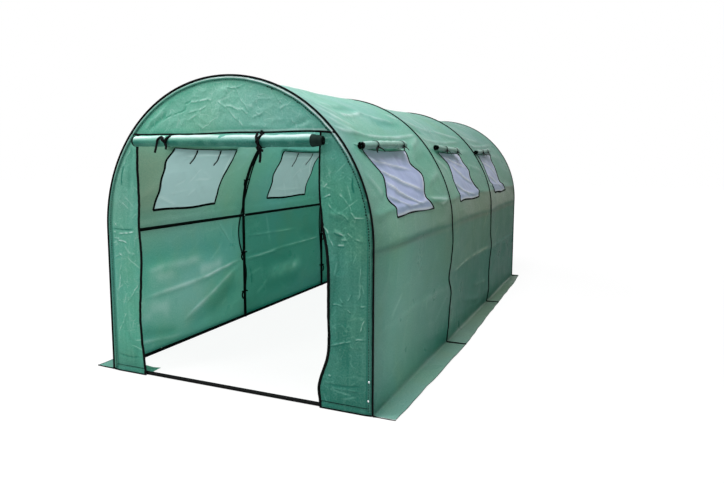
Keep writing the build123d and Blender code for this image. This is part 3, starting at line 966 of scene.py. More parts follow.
# %% One net
def net_patch(side, bay, chance):
    """The net of one window, with its drawn folds and their painted highlights, four random ones and a hem that
    shines through.
    """
    middle = bay_middle[bay]
    y, s = np.meshgrid(
        np.linspace(middle - window_half, middle + window_half, 64), np.linspace(window_low, window_high, 45)
    )
    from_middle = y - middle
    folds, white = np.zeros_like(y), np.zeros_like(y)
    for *ends, strength in net_folds[side][bay]:
        one, trough = fold(from_middle, s, ends, 0.013), fold(from_middle, s + 0.028, ends, 0.026)
        folds += 0.008 * strength * one - 0.005 * strength * trough
        white = np.maximum(white, one**2 * strength * 0.9)
    for _ in range(4):
        start = (chance.uniform(-0.34, 0.1), window_high - chance.uniform(0, 0.15))
        end = (start[0] + chance.uniform(0.1, 0.45), window_low + chance.uniform(0, 0.2))
        width, height = chance.uniform(0.02, 0.05), chance.uniform(-5, 6) / 1000
        folds += fold(from_middle, s, (*start, *end), width, height)
    raised, fine = creases(y, s, 8, 0.3, 520 + bay * 2 + (side > 0), 0.008, 0.003)
    inset = np.minimum(window_half - np.abs(from_middle), np.minimum(s - window_low, window_high - s))
    fade = ramp(inset, 0, 0.05)
    folds = (folds + raised + 0.004 * slack(y, s, 0.12, 540 + bay)) * fade * (2 - fade)
    # The rim: a pale hem along the sides and the foot, and on the right a painted light under the roll, which lifts
    # the roll's shadow.
    hem = hump(inset, 0.010, 0.012) * (s < window_high - 0.02) * (0.75 if side > 0 else 0.15)
    shaded = 0.35 * clamp(1 - (window_high - s) / 0.12) * (side > 0)
    white = np.maximum(np.maximum(white, 0.5 * fine) * ramp(inset, 0, 0.02), np.maximum(hem, shaded))
    points, _, _ = cloth_at(side, bay, y, s, folds - 0.0015)
    # The right nets of the further bays are painted lighter.
    return grid_patch(points, places(y, s), white + 0.12 * bay * (side > 0))


def binding_patch(side, bay, step=0.012):
    """A band all round a window's edge, from a lower corner. It is thinner along the top, under the roll."""
    near, far = bay_middle[bay] - window_half, bay_middle[bay] + window_half
    counts = [int(length / step) for length in (far - near, window_high - window_low)] * 2
    y = spaced((near, far, far, near, near), counts)
    s = spaced((window_low, window_low, window_high, window_high, window_low), counts)
    path, normals, _ = cloth_at(side, bay, y, s, 0.0015 if side > 0 else -0.0015)
    bound = 0.5 + 0.5 * slack(y, s, 0.15, 560 + bay)
    on_top = ramp(s - window_high, -0.01, 0.01)
    half_width = np.where(side > 0, (0.0028 + 0.0045 * bound) * (1 + 0.35 * bay), 0.0100) * (1 - 0.6 * on_top)
    return band_patch(path, normals, half_width, 0.0036 - 0.0024 * on_top)


print("a binding is", len(binding_patch(1, 0)[0]) // 8, "rings long")

# %% Nets, bindings and strings of the six windows
both_sides = ((1, "right"), (-1, "left"))
string_places = (-0.13, 0.14)
strings = []
for bay, middle in enumerate(bay_middle):
    for side, side_name in both_sides:
        window = f"bay_{bay + 1}_{side_name}_window"
        chance = np.random.default_rng(500 + bay * 2 + (side > 0))
        knit = window_net if side > 0 else green_lit_net
        net = make_piece(f"{window}_net", [net_patch(side, bay, chance)], knit, "window_net", f"{window}_mesh")
        binding = make_piece(f"{window}_binding", [binding_patch(side, bay)], piping_cloth, "tie_ribbon")
        for offset in string_places:
            drop = np.linspace(window_high - 0.004, window_high - chance.uniform(0.13, 0.19), 14)
            swing = middle + offset + 0.02 * np.sin(np.linspace(0, 2.6, 14)) * chance.uniform(0.5, 1.6)
            path, normals, _ = cloth_at(side, bay, swing, drop, -0.009)
            strings.append(band_patch(path, normals, 0.0085, 0.0016, sides=6))
make_piece("window_strings", strings, piping_cloth, "tie_ribbon")
print("6 nets with their bindings, and", len(strings), "strings")

# %% [markdown]
# ## Rolled flaps
#
# A rolled flap is one sheet wound into a spiral: it comes down from its seam, passes over the top of the
# roll and winds inwards. Modelling the spiral itself, not a solid rod, gives the open layers at the ends.
# At the ends the turns creep outwards, because nobody rolls a sheet quite straight, and a black binding is
# sewn to the flap's edge, so the ends look like dark cones.

# %% Wind a sheet into a roll
def wound_sheet(centre, up, out, anchor, radius, core, turns, creep, seed, per_turn):
    """Rows of points along a spiral round each place of the centre line. up and out are its two directions."""
    angles = np.linspace(-0.35, 2 * pi * turns - 0.35, int(turns * per_turn) + 1)
    inward = (angles - angles[0]) / (angles[-1] - angles[0])
    along = np.linspace(0, 1, len(centre))
    size = radius[None] + (core - radius[None]) * inward[:, None]
    lengthwise, around = along[None] * 1.4 * 2.2, angles[:, None] * 0.045
    dents = 0.0022 * slack(lengthwise, around, 0.16, seed) + 0.0012 * slack(lengthwise, around, 0.06, seed + 1)
    size = size + dents * np.exp(-3 * inward)[:, None]
    rows = centre[None] + size[..., None] * (
        np.cos(angles)[:, None, None] * up + np.sin(angles)[:, None, None] * out
    )
    axis = (centre[-1] - centre[0]) / np.linalg.norm(centre[-1] - centre[0])
    ends = clamp(1 - along / 0.04) * -creep[0] + clamp(1 - (1 - along) / 0.04) * creep[1]
    rows = rows + (ramp(inward, 0, 0.3)[:, None] * ends[None])[..., None] * axis
    t = np.linspace(0, 1, 8)[:-1, None, None]
    bend = rows[0] - 0.5 * (rows[1] - rows[0]) / np.linalg.norm(rows[1] - rows[0], axis=1, keepdims=True) * 0.02
    run = (1 - t) ** 2 * anchor[None] + 2 * t * (1 - t) * bend[None] + t**2 * rows[0][None]
    rows = np.concatenate([run, rows])
    steps = np.linalg.norm(np.diff(rows[:, len(centre) // 2], axis=0), axis=1)
    down = np.broadcast_to(np.r_[0, np.cumsum(steps)][:, None], rows.shape[:2])
    across = np.broadcast_to(np.linalg.norm(centre - centre[0], axis=1)[None], rows.shape[:2])
    return rows, places(across, down)


print("a roll turns once every", round(2 * pi, 3), "radians, and its layers creep outwards at the ends")

# %% The pieces of a roll
def roll_pieces(name, rows, flat, columns, node, end_cloth, per_turn, painted_brightening, glare, gloom):
    """The green flap between two columns, with a painted highlight on top and painted shade underneath, and its
    bound end or ends outside them.
    """
    left, right = columns
    angles = np.r_[np.full(7, -0.6), -0.35 + np.arange(len(rows) - 7) * 2 * pi / per_turn]
    # Painted highlight along the top of the roll and painted shade under it.
    sheen = glare * hump(angles, 0.62, 0.42) - gloom * hump(angles, 2.05, 0.75)
    sheen = painted_brightening + sheen[:, None] * (0.85 + 0.3 * slack(flat[..., 0], flat[..., 1], 0.05, 830))
    part = slice(left, right + 1)
    patch = grid_patch(rows[:, part], flat[:, part], sheen[:, part])
    flap = make_piece(name, [patch], cover_sheet, "cover_sheet", node)
    outside = [part for part in (slice(0, left + 1), slice(right, None)) if rows[0, part].shape[0] > 1]
    ends = [grid_patch(rows[7:, part], flat[7:, part]) for part in outside]
    bound = make_piece(f"{name}_bound_ends", ends, end_cloth, "tie_ribbon")

# %% [markdown]
# ### The six window flaps
#
# Each window's flap is rolled up above its window and held by two ribbons. Its cloth is about as large as
# the window with a hem all round. The roll droops a little at one end, and its ends stay open, so a hole
# shows in the middle.

# %% A ribbon round a roll
# The two ribbons of each roll, as columns of its grid, are tied where it was easy to reach.
tie_columns = [(13, 43), (18, 42), (20, 38)]
knot_line = np.array([[0, -0.006, 0], [0, 0, 0.003], [0, 0.006, 0]])


def ribbon_patches(middle, size, upward, outward, bay, chance):
    """A loop round the roll, two tails that hang apart, and a knot. The further bays have wider ribbon."""
    turn = np.linspace(-1.1, 2 * pi - 1.5, 30)[:, None]
    loop = middle + (size + 0.0025) * (np.cos(turn) * upward + np.sin(turn) * outward)
    loop[:, 1] += 0.012 * np.sin(turn[:, 0])
    patches = [band_patch(loop, (loop - middle) * (1, 0, 1), 0.0075 + 0.002 * bay, 0.0009, sides=6)]
    tail = np.linspace(0, 1, 12)[:, None]
    start = middle + (0.55 * outward - 0.84 * upward) * (size + 0.003)
    for spread in (-chance.uniform(0.06, 0.09), chance.uniform(0.03, 0.05)):
        hang = start + tail * (-upward * chance.uniform(0.035, 0.050)) + outward * 0.006 * np.sin(tail * 2.5)
        hang[:, 1] += spread * np.sin(tail[:, 0] * 1.6)
        patches.append(band_patch(hang, outward, 0.0090 + 0.001 * bay, 0.0014, sides=6))
    return patches + [band_patch(start + knot_line + outward * 0.003, outward, 0.006, 0.005)]


print("ribbons at", tie_columns, "of 48 columns")

# %% Roll up the window flaps
# For each right bay: how far each end of the roll is moved along the tunnel and up the cloth.
roll_places = [(-0.10, -0.14, -0.004, 0.022), (-0.03, -0.24, 0.026, -0.010), (-0.15, -0.31, -0.010, 0.018)]
for bay in range(3):
    for side, side_name in both_sides:
        window = f"bay_{bay + 1}_{side_name}_window"
        low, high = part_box(f"{window}_roll")
        seed = 700 + bay * 2 + (side > 0)
        chance = np.random.default_rng(seed)
        near, far, rise_near, rise_far = roll_places[bay] if side > 0 else (0.0, -0.03, 0.0, 0.0)
        along = np.linspace(low.y + near, high.y + far, 48)
        t = (along - along[0]) / (along[-1] - along[0])
        middle_x, middle_z = (low.x + high.x) / 2, (low.z + high.z) / 2
        radius = 0.0262 + 0.0015 * np.sin(t * 5 + chance.uniform(0, 6)) + 0.005 * hump(1 - t, 0, 0.05)
        steep = np.arctan2(middle_z - wall_top, abs(middle_x))
        outward = np.array([side * cos(steep), 0, sin(steep)])
        upward = np.array([-side * sin(steep), 0, cos(steep)])
        rise = rise_near + (rise_far - rise_near) * t + 0.004 * np.sin(t * 3 + chance.uniform(0, 6))
        centre = places(middle_x, along, middle_z) + upward * rise[:, None]
        top = np.full(48, window_high + 0.030)
        anchor, _, _ = cloth_at(side, bay, np.clip(along, panel_starts[bay], panel_ends[bay]), top, 0.003)
        rows, flat = wound_sheet(
            centre, upward, outward, anchor, radius,
            core=0.007, turns=5, creep=(0.005, 0.005), seed=seed + 20, per_turn=20,
        )
        window_ties = []
        for column in tie_columns[bay]:
            window_ties += ribbon_patches(centre[column], radius[column], upward, outward, bay, chance)
        ties = make_piece(f"{window}_ties", window_ties, piping_cloth, "tie_ribbon")
        # The window flaps are painted lighter all over, with a painted highlight on top and a little painted shade
        # below.
        roll_pieces(
            f"{window}_flap", rows, flat, (1, 47), f"{window}_roll", binding_cloth,
            per_turn=20, painted_brightening=0.40, glare=0.8, gloom=0.2,
        )

# %% [markdown]
# ## The front panel
#
# The front is two jambs beside the doorway and a gable above it, sewn together along the header. Each is a
# flat sheet that takes its folds from how it hangs: the jambs wave at their free inner edge, and the gable
# is pulled by the roll that hangs from the header. Rows of the grids are level, so the header seam and the
# hem are straight rows. All of them are drawn closely enough, every 5 mm, for creases to show.

# %% Level rows between an inner and an outer edge
edge_radius = arch_radius - 0.005
lift_range = (-0.02, 0.009)
# Heights along each doorway edge, and how far the edge stands from the middle there.
inner_knots = {
    1: ([0, 0.1, 0.35, 0.6, 0.91, 1.11, 1.56, header_z], [0.657, 0.640, 0.706, 0.708, 0.706, 0.672, 0.656, 0.660]),
    -1: ([0, 0.31, 0.72, 1.1, 1.55, header_z], [0.708, 0.743, 0.715, 0.715, 0.711, 0.700]),
}


def outer_edge(z):
    """Half the width of the end panel at each height."""
    above = np.clip(np.asarray(z, float) - wall_top, 0, edge_radius)
    return np.sqrt(edge_radius**2 - above**2)


def away_from_edges(x, z):
    """0 over the end hoop and along the header, rising to 1 away from them."""
    from_hoop = edge_radius - np.where(z > wall_top, np.hypot(x, z - wall_top), np.abs(x))
    fade = ramp(from_hoop, 0.03, 0.06) * np.clip(np.abs(z - header_z) / 0.05, 0.15, 1)
    return ease(fade)


def front_lift(x, z, seed, panel):
    """How far the front panel stands out, and its creasing with painted glints and painted shade. Scratches are all
    5 mm wide and 3.5 mm high.
    """
    lift = 0.004 * slack(x, z, 0.30, seed) + 0.0025 * slack(x, z, 0.10, seed + 1)
    lift = lift + 0.0008 * slack(x, z, 0.03, seed + 2)
    shade, white = np.zeros_like(x), np.zeros_like(x)
    lines = [(*ends, 0.0050, 0.0035 if strength > 0 else -0.0035, strength) for *ends, strength in scratches[panel]]
    bent_x = x + 0.009 * slack(x, z, 0.045, seed + 21)
    bent_z = z + 0.009 * slack(x, z, 0.045, seed + 23)
    for *ends, width, height, strength in lines + soft_folds[panel]:
        one = fold(bent_x, bent_z, ends, width)
        lift = lift + one * height
        if strength > 0:
            white = np.maximum(white, one**2 * strength * (0.80 + 0.75 * slack(x, z, 0.018, seed + 17)))
            if width < 0.02:
                # Painted shade on the lee side of each thin scratch.
                lee_shade = fold(bent_x, bent_z + 1.4 * width, ends, width)
                shade = shade - 0.32 * strength * lee_shade * (1 - one)
        else:
            shade = shade + one * strength
    raised, fine = creases(x, z, 16, 0.16, seed + 3, 0.005, 0.0012)
    web = crumple(x, z, 0.07, seed + 5)
    small = crumple(x, z, 0.03, seed + 9)
    # Painted glints on the crumpled film, in patches, and more of them on the right jamb.
    glint = clamp(web * 1.7 - 0.95) * clamp(slack(x, z, 0.2, seed + 13) + 0.3)
    patch = clamp(slack(x, z, 0.14, seed + 25) + 0.25) * (panel == "right")
    glint = glint + 2.6 * clamp(small * 1.7 - 0.85) * patch
    white = np.maximum(white, np.maximum(0.7 * fine, 0.25 * glint)) + np.clip(shade, -0.9, 0)
    return lift + raised + 0.0030 * web + 0.0012 * small, white


def header_sag(x):
    """Height of the header seam: it hangs a little lower on the left and waves between the ties."""
    free = 1 - ramp(np.abs(x), 0, outer_edge(header_z)) ** 8
    return header_z + free * (0.008 * np.clip(x / 0.5, -1.4, 0.9) + 0.002 * np.sin(x * 11 + 1))


def near_header(x, z):
    """Heights near the header, moved so that the cloth's edge follows the sagging seam."""
    return z + (header_sag(x) - header_z) * clamp(1 - np.abs(z - header_z) / 0.08)


def front_point(x, z, lift):
    return places(x, front_y + cloth_half - np.clip(lift, *lift_range), z)


print("the panel is", round(float(outer_edge(header_z)) * 2, 3), "m wide at the header")

# %% [markdown]
# ### Gable and jambs
#
# The gable's folds radiate from the places where the ties pull on the header, and sag between them. The
# jambs carry long upright folds and sharp little scratches where the plastic was creased in the packet.
# The hem at the foot is turned round the ground bar, so the last rows swell forward and tuck in below it.

# %% Scratches and folds of the panels
# Scratches: x and z of both ends, and how much they whiten the cloth with crease whitening and a painted glint
# (above 0), or darken it with painted shade (below 0).
scratches = {
    "gable": [
        (-0.28, 1.84, -0.20, 1.85, 1.0), (-0.21, 1.84, -0.12, 1.86, 1.2), (-0.14, 1.86, -0.09, 1.84, 1.0),
        (-0.07, 1.86, 0.03, 1.79, 1.1), (0.02, 1.80, 0.15, 1.67, 1.0), (-0.01, 1.82, 0.12, 1.79, 1.1),
        (0.11, 1.80, 0.17, 1.76, 0.9), (0.06, 1.93, 0.11, 1.86, 0.9), (0.10, 1.88, 0.18, 1.77, 0.7),
        (0.01, 1.93, 0.09, 1.91, 1.0), (0.07, 1.91, 0.17, 1.95, 0.7), (-0.29, 1.77, -0.20, 1.80, 0.8),
        (-0.21, 1.79, -0.14, 1.81, 0.8), (-0.28, 1.73, -0.20, 1.76, 0.7), (0.19, 1.74, 0.24, 1.76, 0.8),
        (0.23, 1.75, 0.28, 1.78, 0.8), (0.21, 1.77, 0.26, 1.75, 0.6), (-0.50, 1.73, -0.41, 1.76, -0.5),
        (-0.42, 1.76, -0.30, 1.79, -0.5), (-0.32, 1.78, -0.30, 1.82, -0.4), (-0.31, 1.82, -0.26, 1.85, -0.4),
        (-0.21, 1.71, -0.16, 1.68, 0.8), (0.38, 1.78, 0.44, 1.81, 0.6), (0.42, 1.80, 0.54, 1.82, 0.5),
        (0.30, 1.93, 0.42, 1.80, 0.4),
    ],
    "right": [
        (0.67, 1.28, 0.74, 1.29, 1.2), (0.68, 1.33, 0.71, 1.36, 1.0), (0.77, 1.31, 0.85, 1.23, 0.7),
        (0.84, 1.25, 0.87, 1.19, 0.7), (0.70, 1.25, 0.77, 1.18, 1.0), (0.76, 1.19, 0.85, 1.15, 1.3),
        (0.86, 1.17, 0.99, 1.17, 1.2), (0.85, 1.20, 0.90, 1.16, 0.9), (0.67, 1.12, 0.71, 1.05, 1.2),
        (0.70, 1.07, 0.75, 0.98, 1.0), (0.73, 1.08, 0.80, 1.06, 1.6), (0.77, 1.07, 0.82, 1.05, 1.4),
        (0.77, 1.00, 0.82, 1.01, 1.2), (0.79, 1.03, 0.85, 1.03, 1.3), (0.83, 1.08, 0.88, 1.04, 1.0),
        (0.87, 1.04, 0.94, 1.02, 0.9), (0.87, 1.36, 0.92, 1.31, 0.9), (0.91, 1.32, 0.96, 1.24, 1.0),
        (0.84, 1.48, 0.87, 1.40, -0.9), (0.86, 1.41, 0.87, 1.29, -0.9), (0.89, 1.45, 0.93, 1.33, -0.9),
        (0.93, 1.34, 0.97, 1.24, -0.9), (0.97, 1.25, 0.98, 1.18, -0.9), (0.92, 0.95, 0.91, 0.70, 0.5),
        (0.91, 0.76, 0.90, 0.67, 1.0), (0.94, 0.59, 0.91, 0.49, 0.9), (0.73, 0.65, 0.81, 0.64, 1.0),
        (0.83, 0.63, 0.85, 0.61, 1.2), (0.78, 0.69, 0.81, 0.66, 0.9), (0.86, 0.72, 0.83, 0.67, 0.8),
        (0.91, 0.65, 0.96, 0.66, 1.0), (0.70, 0.39, 0.88, 0.44, 0.9), (0.88, 0.44, 0.96, 0.46, 1.1),
        (0.71, 0.22, 0.73, 0.21, 1.3), (0.69, 0.23, 0.71, 0.18, 0.6), (0.69, 0.15, 0.93, 0.17, -0.5),
        (0.70, 0.13, 0.93, 0.14, 0.2),
    ],
    "left": [
        (-0.91, 0.97, -0.75, 1.00, 1.4), (-0.92, 0.94, -0.82, 0.91, 1.2), (-0.98, 1.06, -0.90, 1.03, 0.9),
        (-0.99, 0.99, -0.91, 0.98, 0.9), (-0.97, 0.95, -0.89, 0.95, 1.0), (-0.97, 0.79, -0.88, 0.83, 1.0),
        (-0.90, 0.84, -0.87, 0.82, 1.4), (-0.98, 1.00, -0.75, 1.01, -0.7), (-0.87, 0.82, -0.93, 0.54, 0.6),
        (-0.71, 0.68, -0.84, 0.50, 0.8), (-0.85, 0.45, -0.95, 0.26, 0.5), (-0.97, 0.48, -0.98, 0.26, -0.6),
        (-0.98, 0.12, -0.74, 0.12, -0.3), (-0.87, 1.48, -0.83, 1.44, -0.6), (-0.83, 1.45, -0.87, 1.30, -0.9),
        (-0.74, 1.61, -0.86, 1.40, 0.6), (-0.85, 1.41, -0.97, 1.20, 0.6),
    ],
}
# Folds: the same, with their width and height before the last number.
soft_folds = {
    "gable": [
        (-0.64, 1.64, -0.43, 1.79, 0.014, -0.006, -0.50), (-0.66, 1.67, -0.44, 1.83, 0.012, 0.006, 0.35),
        (0.18, 1.70, 0.33, 1.66, 0.025, 0.005, 0.12), (-0.10, 1.66, 0.03, 1.98, 0.031, 0.004, 0.05),
        (0.40, 1.66, 0.75, 1.78, 0.025, -0.005, -0.12),
    ],
    "right": [
        (0.76, 1.62, 0.84, 0.95, 0.028, 0.006, 0.05), (0.82, 1.30, 0.74, 0.55, 0.025, -0.006, -0.08),
        (0.80, 0.60, 0.83, 0.20, 0.037, -0.006, -0.15), (0.69, 0.98, 0.72, 0.45, 0.012, 0.005, 0.15),
        (0.735, 1.088, 0.800, 1.066, 0.010, 0.006, 1.0), (0.700, 1.190, 0.860, 1.155, 0.016, 0.006, 0.30),
    ],
    "left": [
        (-0.87, 0.90, -0.76, 0.82, 0.012, 0.004, 0.30), (-0.76, 1.58, -0.80, 1.24, 0.019, -0.004, -0.15),
        (-0.76, 1.20, -0.80, 0.70, 0.025, 0.006, 0.05), (-0.84, 0.62, -0.80, 0.05, 0.022, 0.006, 0.08),
        (-0.92, 0.40, -0.75, 0.12, 0.019, -0.005, -0.10),
    ],
}
print("scratches:", {panel: len(rows) for panel, rows in scratches.items()})

# %% Gable
v = np.linspace(asin((header_z - wall_top) / edge_radius), pi / 2 * 0.985, 90)
u = np.linspace(-1, 1, 300)
x, z = np.broadcast_arrays(edge_radius * np.cos(v)[:, None] * u, (wall_top + edge_radius * np.sin(v))[:, None])
lift, white = front_lift(x, z, 900, "gable")
# Painted sheen over the whole gable, and a painted highlight along the header seam.
white = 0.5 * white + 0.22 + 0.05 * slack(x, z, 0.25, 905)
seam_glint = 0.8 * hump(z - header_z, 0.012, 0.006) * clamp(x / 0.3 + 0.9)
inner = away_from_edges(x, z)
points = front_point(x, near_header(x, z), lift * inner)
patch = grid_patch(points, places(x, z), white * inner + seam_glint)
front_gable = make_piece("front_gable_sheet", [patch], panel_sheet, "cover_sheet", "front_gable")
print("gable", len(front_gable.data.polygons), "faces")

# %% Jambs
def jamb_points(side, share, z):
    """Points, flat places and creasing with painted light and shade of a jamb, from the doorway (share 0) to the
    hoop (share 1).
    """
    knots, values = inner_knots[side]
    inner, outer = through(z, knots, values), outer_edge(z)
    x = side * (inner + (outer - inner) * share)
    lift, white = front_lift(x, z, 950 + side, "right" if side > 0 else "left")
    loose = hump(np.abs(x), inner, 0.07)
    lift = lift + 0.006 * loose * slack(x * 0, z, 0.17, 970 + side)
    hem = hump(z, 0.016, 0.016)
    lift = lift * ramp(z, 0.03, 0.05) + 0.0075 * hem
    # The tube's painted shadow shows through as a dark strip, deeper and mottled at the right foot, and painted
    # shade deepens downwards.
    over_tube = ramp(np.abs(x) - outer, -0.044, 0.008) * ramp(z, wall_top + 0.25, -0.15)
    tube_shadow_depth = 1.0 + 0.9 * (side > 0) * ramp(z, 0.24, -0.03) * (slack(x * 2, z, 0.03, 995) > -0.1)
    fade = np.where(z > 0.08, away_from_edges(x, z), ramp(np.abs(x), edge_radius, -0.05))
    streak = 0.07 * slack(x, z * 0.12, 0.016, 990 + side)
    if side > 0:
        shade = 0.20 + 0.16 * ramp(z, 1.5, -0.4) + 0.16 * clamp(1.1 - z)
        shade = shade + 0.10 * clamp(1 - z / 0.25)
    else:
        shade = 0.02 + 0.42 * clamp(1 - z / 0.3)
    shade = (shade + streak) * ramp(z, header_z, -0.1)
    points = front_point(x, near_header(x, z), lift * fade)
    return points, places(x, z), white * clamp(fade * 2) - 0.35 * over_tube * tube_shadow_depth - shade


jamb_rows = spaced((0.001, 0.06, header_z), (11, 329))
for side, side_name in both_sides:
    share, z = np.meshgrid(np.linspace(0, 1, 64), jamb_rows)
    jamb = f"front_{side_name}_jamb"
    patch = grid_patch(*jamb_points(side, share, z))
    make_piece(f"{jamb}_sheet", [patch], panel_sheet, "cover_sheet", jamb)

# %% [markdown]
# ### The back panel
#
# The back is closed by one gable and one straight wall, sewn together at the same height as the header in
# front. It hangs without a doorway, so its folds are long and soft.

# %% Back panel
on_wall = np.linspace(0.001, wall_top, 60)[:-1]
on_arch = wall_top + edge_radius * np.sin(np.linspace(0, pi / 2 * 0.985, 60))
share, z = np.meshgrid(np.linspace(-1, 1, 120), np.r_[on_wall, on_arch])
x = share * outer_edge(z)
lift = 0.006 * slack(x, z, 0.45, 990) + 0.003 * slack(x, z, 0.14, 991)
for ends in ((-0.5, 1.6, -0.7, 0.2), (0.1, 1.6, 0.2, 0.1), (0.6, 1.5, 0.5, 0.3), (-0.2, 1.2, -0.1, 0)):
    lift = lift + fold(x, z, ends, 0.07, 0.009)
raised, white = creases(x, z, 20, 0.4, 992, 0.016, 0.002)
raised = raised + 0.003 * crumple(x, z, 0.14, 993)
lift = (lift + raised) * away_from_edges(x, z) * ramp(z, 0, 0.08)
points = places(x, rear_y - cloth_half + np.clip(lift, *lift_range), z)
patch = grid_patch(points, places(x, z), white * 0.25)
rear_panel = make_piece("rear_panel", [patch], cover_sheet, "cover_sheet", "rear_gable", "rear_wall")
print("back panel", len(rear_panel.data.polygons), "faces")

# %% [markdown]
# ## Piping over every seam
#
# Black piping is folded over the seams: along both ends of the tunnel, over the two middle hoops and along
# the header in front and behind. It is a band that follows the cloth's own shape, so each path is read
# from the same functions as the cover. A thinner one closes the doorway's edges and the hems.

# %% Piping along the hoops
def around_tunnel(y_at, bay):
    """Path of a seam from the left skirt over the roof to the right skirt."""
    up = np.r_[np.linspace(-skirt_width, 0.06, 26), np.linspace(0.075, ridge, 120)]
    left, left_normals, _ = cloth_at(-1, bay, np.full_like(up, y_at), up, 0.001)
    right, right_normals, _ = cloth_at(1, bay, np.full_like(up, y_at), up, 0.001)
    return np.concatenate([left, right[::-1][1:]]), np.concatenate([left_normals, right_normals[::-1][1:]])


# Where each seam runs and in which bay's cloth, its half width and half thickness, and how far it is pushed
# out of the tunnel's end. In front it is thicker on the left, and it thins out on the skirt.
seam_piping = []
for y_at, bay, half_width, half_thickness, push in (
    (front_y + 0.005, 0, 0.0060, 0.0060, -0.0055),
    (second, 0, 0.0092, 0.0060, 0),
    (third, 1, 0.0115, 0.0065, 0),
    (rear_y - 0.005, 2, 0.0090, 0.0080, 0.0055),
):
    path, normals = around_tunnel(y_at, bay)
    if push:
        path = path - normals * 0.0025 + (0, push, 0)
    if push < 0:
        on_skirt = ramp(np.abs(path[:, 0]), 1.0, 0.02)
        path[:, 1] += 0.0045 * on_skirt
        half_width = half_width * (1 - 0.5 * on_skirt)
        half_thickness = (half_thickness + 0.0030 * ramp(path[:, 0], 0, -0.5)) * (1 - 0.5 * on_skirt)
    path[:, 2] = np.maximum(path[:, 2], half_thickness)
    seam_piping.append(band_patch(path, normals, half_width, half_thickness))
make_piece("hoop_piping", seam_piping, piping_cloth, "tie_ribbon")
print("hoop piping is", round(len(seam_piping) * float(2 * ridge + 2 * skirt_width), 1), "m long in all")

# %% Piping along the header, the doorway and the hems
header_x = np.linspace(-1, 1, 160) * (outer_edge(header_z) - 0.004)
front_path = places(header_x, front_y - 0.0015, header_sag(header_x))
rear_path = places(header_x, rear_y + 0.0005, header_z + 0.003 * np.sin(header_x * 7))
patches = [band_patch(front_path, to_the_door, 0.0060, 0.004), band_patch(rear_path, (0.0, 1.0, 0.0), 0.0060, 0.004)]
header_piping = make_piece("header_piping", patches, piping_cloth, "tie_ribbon")
door_edges = []
for side in (1, -1):
    z = np.linspace(0.004, header_z, 170)
    path, _, _ = jamb_points(side, np.zeros_like(z), z)
    half_width = 0.0098 - 0.0045 * (side > 0) * ramp(z, 1.0, 0.3)
    door_edges.append(band_patch(path, to_the_door, half_width, 0.0055))
    share = np.linspace(0, 0.985, 50)
    for height, thick in ((0.0055, 0.0055), (0.045, 0.0012)):
        path, _, _ = jamb_points(side, share, np.full_like(share, height))
        door_edges.append(band_patch(path - (0, 0.001, 0), to_the_door, thick, 0.0025, sides=6))
make_piece("door_piping", door_edges, piping_cloth, "tie_ribbon")
hem_y = np.linspace(front_y + 0.012, rear_y - 0.012, 260)
bay = np.clip(np.searchsorted(hoop_y, hem_y) - 1, 0, 2)
for side, side_name in both_sides:
    hem = np.empty((len(hem_y), 3))
    for k in range(3):
        part = bay == k
        hem[part], _, _ = cloth_at(side, k, hem_y[part], np.full(part.sum(), -skirt_width + 0.002))
    patch = band_patch(hem, upwards, 0.0022, 0.0015, sides=6)
    make_piece(f"{side_name}_skirt_hem", [patch], piping_cloth, "tie_ribbon")
print("header piping is", round(float(header_x[-1] - header_x[0]), 2), "m long, in front and behind")

# %% [markdown]
# ### The sleeve at the front edge
#
# The front hoop lies in a sleeve that is sewn along the edge of the end panel. On the arch the sleeve is
# pulled tight over the tube, so it bulges, and its crest gets a painted highlight, most on the right. Down the
# sides it lies double and gets painted shade, with painted glints and dark mottles low on the right arch. Its
# row of dark stitches runs along the inner side. The stitches are short separate threads, which is what makes
# them read as sewing.

# %% Sleeve and stitches
def along_arch(inset, step):
    """Places along the front edge, from the left foot over the arch to the right foot."""
    radius = edge_radius - inset
    length = 2 * (wall_top - 0.02) + pi * radius
    distance = np.arange(0, length, step)
    rise = distance + 0.02
    on_arch = (distance - (wall_top - 0.02)) / radius
    angle = pi - np.clip(on_arch, 0, pi)
    down = wall_top - (distance - (wall_top - 0.02) - pi * radius)
    x = radius * np.cos(angle)
    z = np.where(on_arch < 0, rise, np.where(on_arch > pi, down, wall_top + radius * np.sin(angle)))
    return places(x, 0, z), places(np.cos(angle), 0, np.sin(angle))


sleeve_step, sleeve_width = 0.010, 0.028
line, outward = along_arch(0.0, sleeve_step)
x, z = line[:, 0], line[:, 2]
across = np.linspace(0.004, 0.030, 16)[:, None]
along_line = np.arange(len(line)) * sleeve_step
pull = 0.5 + 0.5 * slack(along_line, np.zeros(len(line)), 0.045, 61)
over = clamp((z - wall_top - np.where(x > 0, 0.40, 0.25)) / 0.2)
bright = over * (0.30 + 0.70 * clamp(x / 0.35 + 0.7))
bulge = np.sin(pi * ramp(across, 0.003, 0.020)) ** 0.8 * (0.0045 + 0.0030 * pull) + 0.0008
rows = line - outward * (across + 0.002 * pull)[..., None]
rows[..., 1] = front_y + 0.0008 - bulge
crest = clamp(1.3 - np.abs(across - 0.009) / 0.0045)
# Painted highlight on the crest, brightest on the right, and painted shade down the sides and in a line inside the
# crest.
lit = crest * (1.9 * bright * (0.8 + 0.2 * pull)) - np.where(x > 0, 0.52, 0.35) * (1 - over)
lit = lit - 0.40 * ramp(across, 0.0145, 0.004) * over
# Painted glints and dark mottles on the right arch below the top.
glint_mottle = slack(along_line[None], across * 3, 0.022, 63) * ((x > 0.3) & (z > wall_top + 0.1))
lit = lit + 1.6 * clamp(glint_mottle - 0.45) * (1 - over) - 0.4 * clamp(-glint_mottle - 0.3)
patch = grid_patch(rows, places(along_line, across), lit)
sleeve = make_piece("front_edge_sleeve", [patch], cover_sheet, "cover_sheet")

